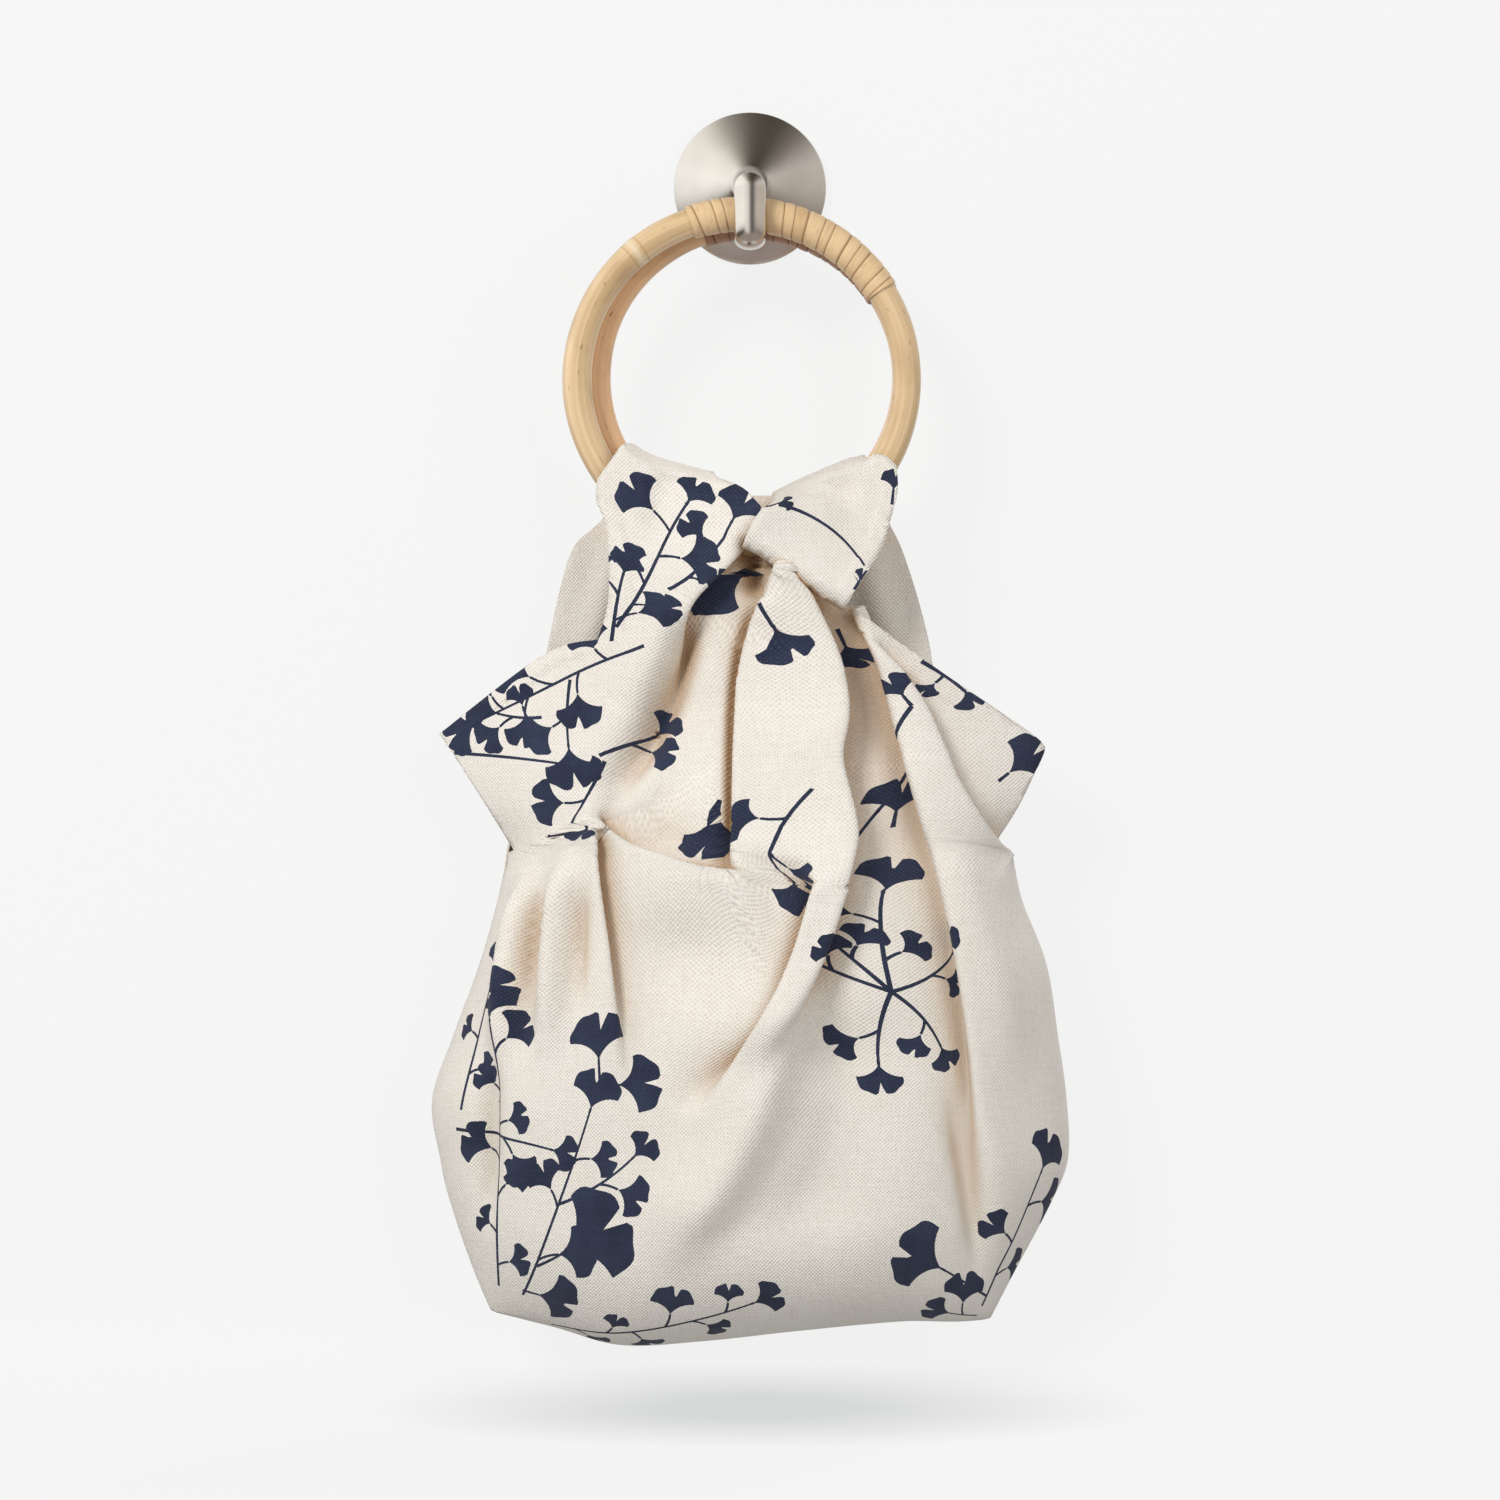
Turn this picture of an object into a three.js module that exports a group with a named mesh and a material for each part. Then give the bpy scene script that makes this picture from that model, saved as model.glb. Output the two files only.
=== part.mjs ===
import * as THREE from 'three';

// A cloth bag knotted round two cane rings, hanging from a round wall hook.
// Sizes are millimetres. Z is up, the bag's front faces -Y and the wall is the plane Y = 0.
// The origin is the centre of the hook plate's back face.

// The wall hook
const PLATE_DIAMETER = 65;
const PLATE_RIM = 2.5;
const PLATE_DEPTH = 13;
const NOSE_DIAMETER = 16;
const NOSE_DEPTH = 15;
const PRONG_WIDTH = 12.4;
const PRONG_HEIGHT = 8.8;

// The rings and the cane bound round their tops
const TUBE_DIAMETER = 12.7;
const FRONT_RING_DIAMETER = 152;
const BACK_RING_DIAMETER = 145;
const FRONT_RING_DEPTH = -51;
const BACK_RING_DEPTH = -34;
const FRONT_RING_CENTRE = [-3.2, -87.1];
const BACK_RING_CENTRE = [0.3, -86.4];
const BINDING_THICKNESS = 1.4;
const BINDING_RIDGE = 0.5;
const BINDING_TURNS = 13;
const BINDING_START = -18;
const BINDING_SWEEP = 81;
const PIECE_GAP = 0.4;

// The cloth
const CLOTH_THICKNESS = 1.4;
const CLOTH_STEP = 12;
const EDGE_STEP = 6.5;
const BACK_STEP = 19;
const BACK_TOP = -136;
const BACK_LOW = -466;
const TIE_STEP = 7;

// Places on the cloth are given as they look from in front of the bag: x and z lie on the plane
// SIGHT_PLANE, seen from SIGHT_DISTANCE away at SIGHT_HEIGHT. A point behind that plane is really
// a little further out than it looks, and one in front of it a little further in.
const SIGHT_PLANE = -42;
const SIGHT_DISTANCE = 1600;
const SIGHT_HEIGHT = -243.7;

const table = (columns, rows) => rows.map((row) => {
  return Object.fromEntries(columns.map((name, index) => [name, row[index]]));
});

// The front half of the hanging bag, section by section: its width as seen from in front, the depth
// of its side edges, how far its middle stands in front of them, and how flat the section is
// (1 is an ellipse, 2 a shallow arch).
const FRONT_SECTIONS = table(
  ['height', 'left', 'right', 'edge', 'bulge', 'flatness'],
  [
    [-500, -100, 93, -48, 46, 1],
    [-468, -114.7, 109.5, -48, 48, 1],
    [-434, -126.6, 127.4, -48, 50, 1],
    [-417, -130.5, 134, -48, 51, 1],
    [-392, -134, 133.5, -48, 52, 1],
    [-366, -125.5, 130, -48, 51, 1],
    [-333, -113.5, 124.5, -48, 49, 1],
    [-300, -104.5, 111, -48, 46, 1.1],
    [-284, -103.5, 107.5, -47, 43, 1.3],
    [-264, -126, 128, -45, 40, 1.6],
    [-244, -141, 136, -43, 36, 1.8],
    [-220, -130, 118, -46, 27, 1.9],
    [-197, -104, 95, -53, 16, 2],
    [-165, -82, 78, -60, 7, 2],
    [-138, -74, 74, -61.5, 4, 2],
    [-108, -74, 74, -61.5, 3, 2],
  ],
);

// The back panel hangs against the wall behind it; its bulge points back.
const BACK_SECTIONS = table(
  ['height', 'left', 'right', 'edge', 'bulge', 'flatness'],
  [
    [-500, -100, 93, -46.6, -38, 1],
    [-468, -114.7, 109.5, -46.6, -41, 1],
    [-434, -126.6, 127.4, -46.6, -43, 1],
    [-417, -130.5, 134, -46.6, -43, 1],
    [-392, -134, 133.5, -46.6, -43, 1],
    [-366, -125.5, 130, -46.6, -43, 1],
    [-333, -113.5, 124.5, -46.6, -43, 1],
    [-300, -104.5, 111, -46.6, -42, 1.1],
    [-284, -102, 106, -46, -40, 1.2],
    [-252, -94, 90, -44, -37, 1.3],
    [-222, -90, 80, -41, -33, 1.4],
    [-197, -85, 75.5, -37, -28, 1.5],
    [-176, -80.5, 70, -32, -22, 1.6],
    [-157, -74, 63.5, -26, -15, 1.8],
    [-146, -62, 58, -19, -8, 2],
    [-136, -60, 56, -16, -5, 2],
  ],
);

// The bag's bottom edge as seen from in front, and the height over which it rounds under.
const BOTTOM_EDGE = table(
  ['x', 'height'],
  [
    [-125, -462],
    [-114, -471],
    [-104, -480],
    [-80, -488],
    [-55, -495],
    [-21, -493.5],
    [21, -489],
    [64, -485],
    [95, -484],
    [105, -476],
    [125, -458],
  ],
);
const BOTTOM_ROUND = 42;

// The front panel's cut edges as seen from in front, one after another round its upper half.
const FRONT_EDGES = {
  rightEarSide: [[104, -286], [115, -265], [124, -245]],
  rightEarHem: [[124, -245], [120, -238], [76, -208], [42, -183]],
  underKnot: [[42, -183], [24, -171], [13, -160], [6, -143]],
  tieLeftSide: [[-64.5, -129], [-65, -138], [-60.5, -151], [-59.5, -180], [-64, -197]],
  leftEarHem: [[-64, -197], [-87, -203.5], [-131, -237]],
  leftEarSide: [[-131, -237], [-114, -263], [-99.5, -286]],
};

// Laps, where one layer of the cloth lies over the next. The line is the upper layer's edge. "under"
// is the side of the line where the lower layer goes on: 1 is right of a line that runs down.
const LAPS = table(
  ['name', 'under', 'lap', 'height', 'spread', 'tuck', 'open', 'close', 'line'],
  [
    ['left wing hem', 1, 6, 6, 26, 2, 0, 45,
      [[12, -134], [-2, -158], [-15, -172], [-25, -182], [-30, -202], [-38, -228]]],
    ['first pleat', -1, 4, 5, 20, 1, 10, 60,
      [[8, -172], [-2, -197], [-6, -222], [-7, -248], [-8, -292]]],
    ['second pleat', 1, 6, 9, 24, 3, 16, 45,
      [[18, -166], [30, -189], [37, -206], [41, -231], [37, -247], [40, -261], [44, -278],
        [42, -294], [37, -311], [27, -335]]],
    ['cowl lip', 1, 7, 7, 26, 3, 14, 14,
      [[-68, -266], [-59, -278], [-47, -286], [-25, -294], [-6, -296], [8, -293], [20, -282]]],
    ['big roll', -1, 5, 7, 22, 5, 16, 50,
      [[36, -270], [33, -299], [23, -318], [15, -339], [-4, -371], [-24, -396]]],
    ['left crease', 1, 3.5, 4, 18, 1, 20, 60,
      [[-64, -275], [-61, -307], [-58, -333], [-56, -354], [-52, -390]]],
    ['right crease', -1, 4, 5, 26, 2, 0, 120,
      [[38, -172], [44, -189], [53, -218], [61, -248], [66, -286], [74, -316], [83, -350],
        [89, -392], [95, -434], [98, -465]]],
    ['right ear fold', 1, 4, 5, 20, 2, 8, 0,
      [[46, -190], [71, -225], [89, -265], [106, -290]]],
  ],
);

// Soft folds, which only rise (or sink, below zero) across a line. The two widths are on the left
// and right of a line that runs down.
const SOFT_FOLDS = table(
  ['name', 'height', 'leftWidth', 'rightWidth', 'open', 'close', 'line'],
  [
    ['wing valley', -6, 12, 9, 20, 30,
      [[-26, -184], [-30, -205], [-43, -237], [-57, -258], [-64, -272]]],
    ['tie crease', -2, 5, 7, 8, 20, [[-33, -122], [-38, -140], [-41, -165]]],
    ['first left roll', 5, 9, 9, 30, 50,
      [[-72, -282], [-80, -310], [-84, -345], [-86, -385]]],
    ['second left roll', 5, 7, 8, 30, 60,
      [[-92, -290], [-98, -320], [-104, -355], [-107, -400]]],
    ['low left crease', -5, 7, 6, 30, 30,
      [[-105, -360], [-110, -392], [-111, -417], [-112, -452]]],
    ['big roll crest', 8, 16, 22, 20, 60,
      [[36, -318], [22, -350], [-4, -394], [-42, -434], [-66, -466]]],
    ['below the roll', -5, 12, 20, 30, 60,
      [[42, -322], [36, -350], [16, -390], [-10, -425]]],
    ['cowl hollow', -4, 18, 22, 24, 40, [[-30, -306], [-32, -335], [-36, -370]]],
    ['right belly', 5, 14, 16, 40, 60, [[74, -262], [88, -300], [103, -345], [112, -400]]],
    ['low right crease', -4, 6, 8, 40, 30, [[84, -380], [93, -425], [98, -470]]],
  ],
);

// The right tie comes down from the rings, crosses over the left one and closes the knot. Its edges
// and its folds are given as they look from in front.
const TIE_DEPTH = -62.5;
const TIE_EDGES = {
  bottom: [[-3, -157], [4, -160.5], [15, -168], [21, -173], [34, -180.5], [40, -184]],
  side: [[40, -184], [47, -172], [55, -160], [59.5, -146], [62.5, -134], [62, -123.5]],
  shoulder: [[62, -123.5], [57, -119], [50, -118.5]],
  crossing: [[9, -137], [5, -141.5], [0.5, -148], [-3, -157]],
};
const BACK_FOLDS = table(
  ['name', 'height', 'leftWidth', 'rightWidth', 'open', 'close', 'line'],
  [
    ['left gather', 2, 8, 8, 0, 60, [[-30, -136], [-44, -190], [-60, -260], [-70, -330]]],
    ['middle gather', -4, 7, 7, 0, 60, [[-8, -136], [-12, -200], [-20, -280], [-24, -340]]],
    ['right gather', 2, 9, 7, 0, 60, [[20, -136], [32, -200], [50, -280], [60, -350]]],
    ['low cross fold', -3, 10, 10, 40, 40,
      [[-90, -330], [-30, -380], [40, -400], [95, -380]]],
  ],
);
const TIE_FOLDS = table(
  ['name', 'height', 'leftWidth', 'rightWidth', 'open', 'close', 'line'],
  [
    ['knot lobe', 17, 13, 23, 0, 0, [[-2, -150], [16, -162], [30, -171], [46, -180]]],
    ['lobe roll', -3, 3, 3, 0, 0,
      [[-5, -158.5], [4, -162], [15, -169.5], [21, -174.5], [34, -182], [42, -187]]],
    ['knot ridge', 3, 9, 3, 0, 14, [[3, -142], [17, -138.5], [29, -140], [44, -146]]],
    ['tie hollow', -2.5, 7, 5, 4, 8, [[14, -133], [30, -131], [48, -136]]],
  ],
);

const clamp = (value, low, high) => Math.min(high, Math.max(low, value));

const smooth = (value) => {
  const t = clamp(value, 0, 1);
  return t * t * (3 - 2 * t);
};

// A smooth curve through one column of a table, read at any place.
function readCurve(rows, at, column) {
  const places = rows.map((row) => row[at]);
  const values = rows.map((row) => row[column]);
  const last = rows.length - 1;
  const slopes = values.map((_, index) => {
    const before = Math.max(index - 1, 0);
    const after = Math.min(index + 1, last);
    return (values[after] - values[before]) / (places[after] - places[before]);
  });
  return (place) => {
    const inside = clamp(place, places[0], places[last]);
    let index = 0;
    while (index < last - 1 && inside > places[index + 1]) index += 1;
    const span = places[index + 1] - places[index];
    const t = (inside - places[index]) / span;
    const rest = 1 - t;
    return values[index] * (1 + 2 * t) * rest * rest + slopes[index] * span * t * rest * rest
      + values[index + 1] * t * t * (3 - 2 * t) - slopes[index + 1] * span * t * t * rest;
  };
}

const readSections = (sections) => Object.fromEntries(
  ['left', 'right', 'edge', 'bulge', 'flatness'].map((column) => {
    return [column, readCurve(sections, 'height', column)];
  }),
);
const frontCurves = readSections(FRONT_SECTIONS);
const backCurves = readSections(BACK_SECTIONS);
const bottomAt = readCurve(BOTTOM_EDGE, 'x', 'height');

// A section's flat width: how far along the cloth a point lies that is seen at share
// sin(turn) of the half width.
const flatShare = (turn, depthRatio) => (1 - depthRatio) * Math.sin(turn) + depthRatio * turn;

function sectionAt(height, curves) {
  const left = curves.left(height);
  const right = curves.right(height);
  const halfWidth = (right - left) / 2;
  const bulge = curves.bulge(height);
  const flatness = curves.flatness(height);
  return {
    centre: (left + right) / 2,
    halfWidth,
    edge: curves.edge(height),
    bulge,
    flatness,
    depthRatio: Math.abs(bulge) / halfWidth / flatness,
  };
}

// From a place as seen to the place on the unrolled cloth, and back.
function unroll([x, z]) {
  const roundFrom = bottomAt(x) + BOTTOM_ROUND;
  const under = clamp((roundFrom - z) / BOTTOM_ROUND, 0, 1);
  const along = under > 0 ? roundFrom - BOTTOM_ROUND * Math.asin(under) : z;
  const section = sectionAt(z, frontCurves);
  const turn = Math.asin(clamp((x - section.centre) / section.halfWidth, -1, 1));
  return [section.centre + section.halfWidth * flatShare(turn, section.depthRatio), along];
}

function turnOf(share, depthRatio) {
  const limit = flatShare(Math.PI / 2, depthRatio);
  const goal = clamp(share, -limit, limit);
  let turn = goal / limit;
  for (let round = 0; round < 12; round += 1) {
    const slope = (1 - depthRatio) * Math.cos(turn) + depthRatio;
    turn = clamp(turn - (flatShare(turn, depthRatio) - goal) / slope, -Math.PI / 2, Math.PI / 2);
  }
  return turn;
}

function bareShell([across, along], curves) {
  const roughSection = sectionAt(along, curves);
  const roughShare = (across - roughSection.centre) / roughSection.halfWidth;
  const roughTurn = turnOf(roughShare, roughSection.depthRatio);
  const roughX = roughSection.centre + roughSection.halfWidth * Math.sin(roughTurn);
  const roundFrom = bottomAt(roughX) + BOTTOM_ROUND;
  const under = clamp((roundFrom - along) / BOTTOM_ROUND, 0, Math.PI / 2);
  const z = under > 0 ? roundFrom - BOTTOM_ROUND * Math.sin(under) : along;
  const section = sectionAt(z, curves);
  const turn = turnOf((across - section.centre) / section.halfWidth, section.depthRatio);
  const x = section.centre + section.halfWidth * Math.sin(turn);
  const arch = Math.pow(Math.cos(turn), section.flatness);
  return new THREE.Vector3(x, section.edge - section.bulge * arch * Math.cos(under), z);
}

// Where the ties pass over the rings: the line they turn over at, as seen, and the size of the turn.
const TURN_HEIGHT = 6;
const TURN_BACK = -26.6;
const TURN_CLOTH = 46;
const LEFT_TURN = table(
  ['x', 'height'],
  [
    [-58, -108],
    [-52, -118],
    [-42, -125],
    [-25, -130],
    [8, -140],
  ],
);
const RIGHT_TURN = table(
  ['x', 'height'],
  [
    [8, -142],
    [21, -135.5],
    [42, -126.5],
    [49, -124],
    [55, -110],
  ],
);

// Carries cloth above the turning line back over the rings and down behind them.
function overRings(point, turnLine) {
  const line = turnLine(point.x);
  const beyond = point.z - line;
  if (beyond <= 0) return point;
  const angle = Math.min(beyond / TURN_CLOTH, 1) * Math.PI;
  const hang = Math.max(beyond - TURN_CLOTH, 0);
  const middle = (point.y + TURN_BACK) / 2;
  const reach = (TURN_BACK - point.y) / 2;
  return new THREE.Vector3(
    point.x,
    middle - reach * Math.cos(angle),
    line + TURN_HEIGHT * Math.sin(angle) - hang,
  );
}

const leftTurnLine = readCurve(LEFT_TURN, 'x', 'height');
const rightTurnLine = readCurve(RIGHT_TURN, 'x', 'height');
const frontShell = (place) => overRings(bareShell(place, frontCurves), leftTurnLine);
const backShell = (place) => bareShell(place, backCurves);
const tieShell = ([x, z]) => new THREE.Vector3(x, TIE_DEPTH, z);

// Lines drawn on the cloth: evenly spaced samples of a smooth curve through hand-set points.
const LINE_STEP = 2.5;

function drawLine(points) {
  const curve = new THREE.SplineCurve(points.map(([x, z]) => new THREE.Vector2(x, z)));
  const count = Math.max(2, Math.round(curve.getLength() / LINE_STEP));
  return curve.getSpacedPoints(count).map((point) => [point.x, point.y]);
}

// The nearest place on a line: how far along it, the signed distance (right of a line that runs
// down is above zero) and the direction of that distance.
function nearestOn(line, [x, z]) {
  let best = { distance: Infinity };
  let travelled = 0;
  for (let index = 0; index < line.length - 1; index += 1) {
    const [ax, az] = line[index];
    const [bx, bz] = line[index + 1];
    const length = Math.hypot(bx - ax, bz - az);
    const direction = [(bx - ax) / length, (bz - az) / length];
    const share = clamp((x - ax) * direction[0] + (z - az) * direction[1], 0, length);
    const off = [x - ax - direction[0] * share, z - az - direction[1] * share];
    const distance = Math.hypot(off[0], off[1]);
    if (distance < best.distance) {
      const normal = [-direction[1], direction[0]];
      const side = off[0] * normal[0] + off[1] * normal[1] < 0 ? -1 : 1;
      best = { distance, side, along: travelled + share, normal, off };
    }
    travelled += length;
  }
  const signed = best.side * best.distance;
  const way = best.distance > 0.01 ? best.off.map((value) => value / signed) : best.normal;
  return { signed, along: best.along, length: travelled, way };
}

// How strongly a fold shows at a place along its line: it grows over "open" and dies over "close".
function strength(fold, along, length) {
  const start = fold.open > 0 ? smooth(along / fold.open) : 1;
  const end = fold.close > 0 ? smooth((length - along) / fold.close) : 1;
  return start * end;
}

// A lap gathers the cloth towards its line. At full strength the layers overlap by LAP_SHARE of
// the gathered width, and the cloth evens out again over LAP_REACH.
const LAP_SHARE = 0.533;
const LAP_REACH = 60;

function gather(fold, power, signed) {
  const most = fold.lap / LAP_SHARE;
  const distance = Math.abs(signed);
  const fade = 1 - smooth((distance - most) / (LAP_REACH - most));
  return most * power * Math.tanh(signed / (most / 2)) * fade;
}

const lapEdge = (fold, power) => {
  const half = fold.lap / LAP_SHARE / 2;
  const most = 2 * half * power;
  if (most <= half) return 0;
  const turnPlace = half * Math.acosh(Math.sqrt(most / half));
  return gather(fold, power, turnPlace) - turnPlace;
};

function foldLap(fold, place) {
  const near = nearestOn(fold.axis, place);
  const signed = fold.under * near.signed;
  const power = strength(fold, near.along, near.length);
  const shift = gather(fold, power, signed) * fold.under;
  const half = fold.lap / LAP_SHARE / 2;
  const upper = (1 - Math.tanh(signed / half)) / 2;
  const roll = signed < 0 ? Math.exp(-((signed / fold.spread) ** 2)) : 1;
  const dip = Math.exp(-((signed / fold.spread) ** 2)) * (1 - upper);
  const rise = Math.sqrt(power) * (fold.height * upper * roll - fold.tuck * dip);
  return {
    place: [place[0] - near.way[0] * shift, place[1] - near.way[1] * shift],
    rise: near.along > 0 || fold.open > 0 ? rise : 0,
  };
}

// The reverse of foldLap for a place that shows.
function unfoldLap(fold, place) {
  const near = nearestOn(fold.axis, place);
  const seen = fold.under * near.signed;
  const power = strength(fold, near.along, near.length);
  const half = fold.lap / LAP_SHARE / 2;
  const turnPlace = 2 * power > 1 ? half * Math.acosh(Math.sqrt(2 * power)) : 0;
  const onTop = seen < lapEdge(fold, power);
  let low = onTop ? seen - 4 * half : turnPlace;
  let high = onTop ? -turnPlace : seen + 4 * half;
  for (let round = 0; round < 40; round += 1) {
    const middle = (low + high) / 2;
    if (middle - gather(fold, power, middle) < seen) low = middle;
    else high = middle;
  }
  const shift = fold.under * (low - seen);
  return [place[0] + near.way[0] * shift, place[1] + near.way[1] * shift];
}

// Evens out the corners that a line gets where it passes under another lap.
const EVENING_ROUNDS = 12;

const betweenNeighbours = (before, point, after) => [
  (before[0] + 2 * point[0] + after[0]) / 4,
  (before[1] + 2 * point[1] + after[1]) / 4,
];

function evenOut(line) {
  let evened = line;
  for (let round = 0; round < EVENING_ROUNDS; round += 1) {
    evened = evened.map((point, index, all) => {
      if (index === 0 || index === all.length - 1) return point;
      return betweenNeighbours(all[index - 1], point, all[index + 1]);
    });
  }
  return evened;
}

// Each lap's line lies in the cloth as the laps before it leave it. The axis is the middle of the
// lap's three layers, half an overlap behind the visible edge.
const laps = [];
for (const lap of LAPS) {
  const opened = drawLine(lap.line.map(unroll)).map((point) => {
    return laps.reduce((place, before) => unfoldLap(before, place), point);
  });
  const edge = evenOut(opened);
  const length = (edge.length - 1) * LINE_STEP;
  const axis = edge.map((point, index) => {
    const before = edge[Math.max(index - 1, 0)];
    const after = edge[Math.min(index + 1, edge.length - 1)];
    const run = Math.hypot(after[0] - before[0], after[1] - before[1]);
    const inset = lap.under * lapEdge(lap, strength(lap, index * LINE_STEP, length));
    return [
      point[0] + (after[1] - before[1]) / run * inset,
      point[1] - (after[0] - before[0]) / run * inset,
    ];
  });
  laps.push({ ...lap, axis });
}

const readFolds = (folds, place) => {
  return folds.map((fold) => ({ ...fold, axis: drawLine(fold.line.map(place)) }));
};
const softFolds = readFolds(SOFT_FOLDS, unroll);
const tieFolds = readFolds(TIE_FOLDS, (point) => point);
const backFolds = readFolds(BACK_FOLDS, (point) => point);

// How far a set of soft folds lifts the cloth at a place.
function liftOf(folds, place) {
  return folds.reduce((lift, fold) => {
    const near = nearestOn(fold.axis, place);
    const width = near.signed < 0 ? fold.leftWidth : fold.rightWidth;
    const across = Math.exp(-((near.signed / width) ** 2));
    return lift + fold.height * across * strength(fold, near.along, near.length);
  }, 0);
}

const flatten = (place, from = 0) => {
  return laps.slice(from).reduce((moved, lap) => unfoldLap(lap, moved), place);
};

const SLOPE_STEP = 0.5;

function shellNormal(shell, [across, along]) {
  const sideways = shell([across + SLOPE_STEP, along]).sub(shell([across - SLOPE_STEP, along]));
  const upward = shell([across, along + SLOPE_STEP]).sub(shell([across, along - SLOPE_STEP]));
  return sideways.cross(upward).normalize();
}

const asSeen = (point) => {
  const scale = 1 + (point.y - SIGHT_PLANE) / SIGHT_DISTANCE;
  return new THREE.Vector3(point.x * scale, point.y, SIGHT_HEIGHT + (point.z - SIGHT_HEIGHT) * scale);
};

// The front panel's middle surface over its flat cloth.
function drapeFront(flatPlace) {
  let place = flatPlace;
  let rise = 0;
  for (const lap of [...laps].reverse()) {
    const folded = foldLap(lap, place);
    place = folded.place;
    rise += folded.rise;
  }
  rise += liftOf(softFolds, place);
  return asSeen(frontShell(place).addScaledVector(shellNormal(frontShell, place), rise));
}

const drapeBack = (place) => {
  const normal = shellNormal(backShell, place);
  return asSeen(backShell(place).addScaledVector(normal, liftOf(backFolds, place)));
};

function drapeTie(place) {
  const point = tieShell(place);
  point.y -= liftOf(tieFolds, place);
  return asSeen(overRings(point, rightTurnLine));
}

// Triangles between scattered points, none of them with another point inside its circle.
const FAR_OFF = 5000;

function joinPoints(points) {
  const count = points.length;
  const all = [...points, [-FAR_OFF, -FAR_OFF], [FAR_OFF, -FAR_OFF], [0, FAR_OFF]];
  const circled = (a, b, c) => {
    const [ax, ay] = all[a];
    const bx = all[b][0] - ax;
    const by = all[b][1] - ay;
    const cx = all[c][0] - ax;
    const cy = all[c][1] - ay;
    const area = 2 * (bx * cy - by * cx);
    const x = (cy * (bx * bx + by * by) - by * (cx * cx + cy * cy)) / area;
    const y = (bx * (cx * cx + cy * cy) - cx * (bx * bx + by * by)) / area;
    return { corners: [a, b, c], x: ax + x, y: ay + y, reach: x * x + y * y };
  };
  let triangles = [circled(count, count + 1, count + 2)];
  for (let index = 0; index < count; index += 1) {
    const [x, y] = all[index];
    const rim = new Map();
    triangles = triangles.filter((triangle) => {
      if ((x - triangle.x) ** 2 + (y - triangle.y) ** 2 >= triangle.reach) return true;
      for (let corner = 0; corner < 3; corner += 1) {
        const from = triangle.corners[corner];
        const to = triangle.corners[(corner + 1) % 3];
        if (rim.has(`${to} ${from}`)) rim.delete(`${to} ${from}`);
        else rim.set(`${from} ${to}`, [from, to]);
      }
      return false;
    });
    for (const [from, to] of rim.values()) triangles.push(circled(from, to, index));
  }
  const joined = triangles.map((triangle) => triangle.corners);
  return joined.filter((corners) => Math.max(...corners) < count);
}

function isInside([x, y], outline) {
  let inside = false;
  outline.forEach(([ax, ay], index) => {
    const [bx, by] = outline[(index + 1) % outline.length];
    if ((ay > y) !== (by > y) && x < ax + (bx - ax) * (y - ay) / (by - ay)) inside = !inside;
  });
  return inside;
}

// Points of a flat piece of cloth: its outline, then points beside the folds, then an even spread.
// Each new point keeps its own distance from the ones already there.
const SPREAD_ROOM = 0.62;
const ROW_JITTER = 0.025;

function spreadPoints(outline, foldPlaces, step) {
  const points = [...outline];
  const add = (place, room) => {
    const clear = points.every(([x, z]) => Math.hypot(x - place[0], z - place[1]) > room);
    if (clear && isInside(place, outline)) points.push(place);
  };
  for (const { place, room } of foldPlaces) add(place, room);
  const xs = outline.map(([x]) => x);
  const zs = outline.map(([, z]) => z);
  const rowStep = step * Math.sqrt(3) / 2;
  const rows = Math.ceil((Math.max(...zs) - Math.min(...zs)) / rowStep);
  for (let row = 1; row < rows; row += 1) {
    const shift = row % 2 ? step / 2 : 0;
    const z = Math.min(...zs) + row * rowStep;
    const start = Math.min(...xs) + shift + Math.sin(row * 1.7) * step * ROW_JITTER;
    for (let x = start; x < Math.max(...xs); x += step) add([x, z], step * SPREAD_ROOM);
  }
  return points;
}

function solidFromFaces(vertices, faces) {
  const geometry = new THREE.BufferGeometry();
  const positions = vertices.flatMap((vertex) => vertex.toArray());
  geometry.setAttribute('position', new THREE.Float32BufferAttribute(positions, 3));
  geometry.setIndex(faces.flat());
  geometry.computeVertexNormals();
  return geometry;
}

// A closed sheet of even thickness round a middle surface. The outer face looks along the
// triangles' own normals.
function thicken(middle, triangles, thickness) {
  const skin = solidFromFaces(middle, triangles);
  const normals = skin.getAttribute('normal');
  const count = middle.length;
  const shifted = (side) => middle.map((point, index) => {
    const normal = new THREE.Vector3().fromBufferAttribute(normals, index);
    return point.clone().addScaledVector(normal, side * thickness / 2);
  });
  const edges = new Map();
  for (const triangle of triangles) {
    for (let corner = 0; corner < 3; corner += 1) {
      const from = triangle[corner];
      const to = triangle[(corner + 1) % 3];
      if (edges.has(`${to} ${from}`)) edges.delete(`${to} ${from}`);
      else edges.set(`${from} ${to}`, [from, to]);
    }
  }
  const rim = [...edges.values()].flatMap(([from, to]) => [
    [to, from, from + count],
    [to, from + count, to + count],
  ]);
  const inner = triangles.map(([a, b, c]) => [a + count, c + count, b + count]);
  return solidFromFaces([...shifted(1), ...shifted(-1)], [...triangles, ...inner, ...rim]);
}

function clothPiece(outline, foldPlaces, drape, step) {
  const points = spreadPoints(outline, foldPlaces, step);
  const triangles = joinPoints(points).filter(([a, b, c]) => {
    const x = (points[a][0] + points[b][0] + points[c][0]) / 3;
    const z = (points[a][1] + points[b][1] + points[c][1]) / 3;
    return isInside([x, z], outline);
  });
  return thicken(points.map(drape), triangles, CLOTH_THICKNESS);
}

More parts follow.
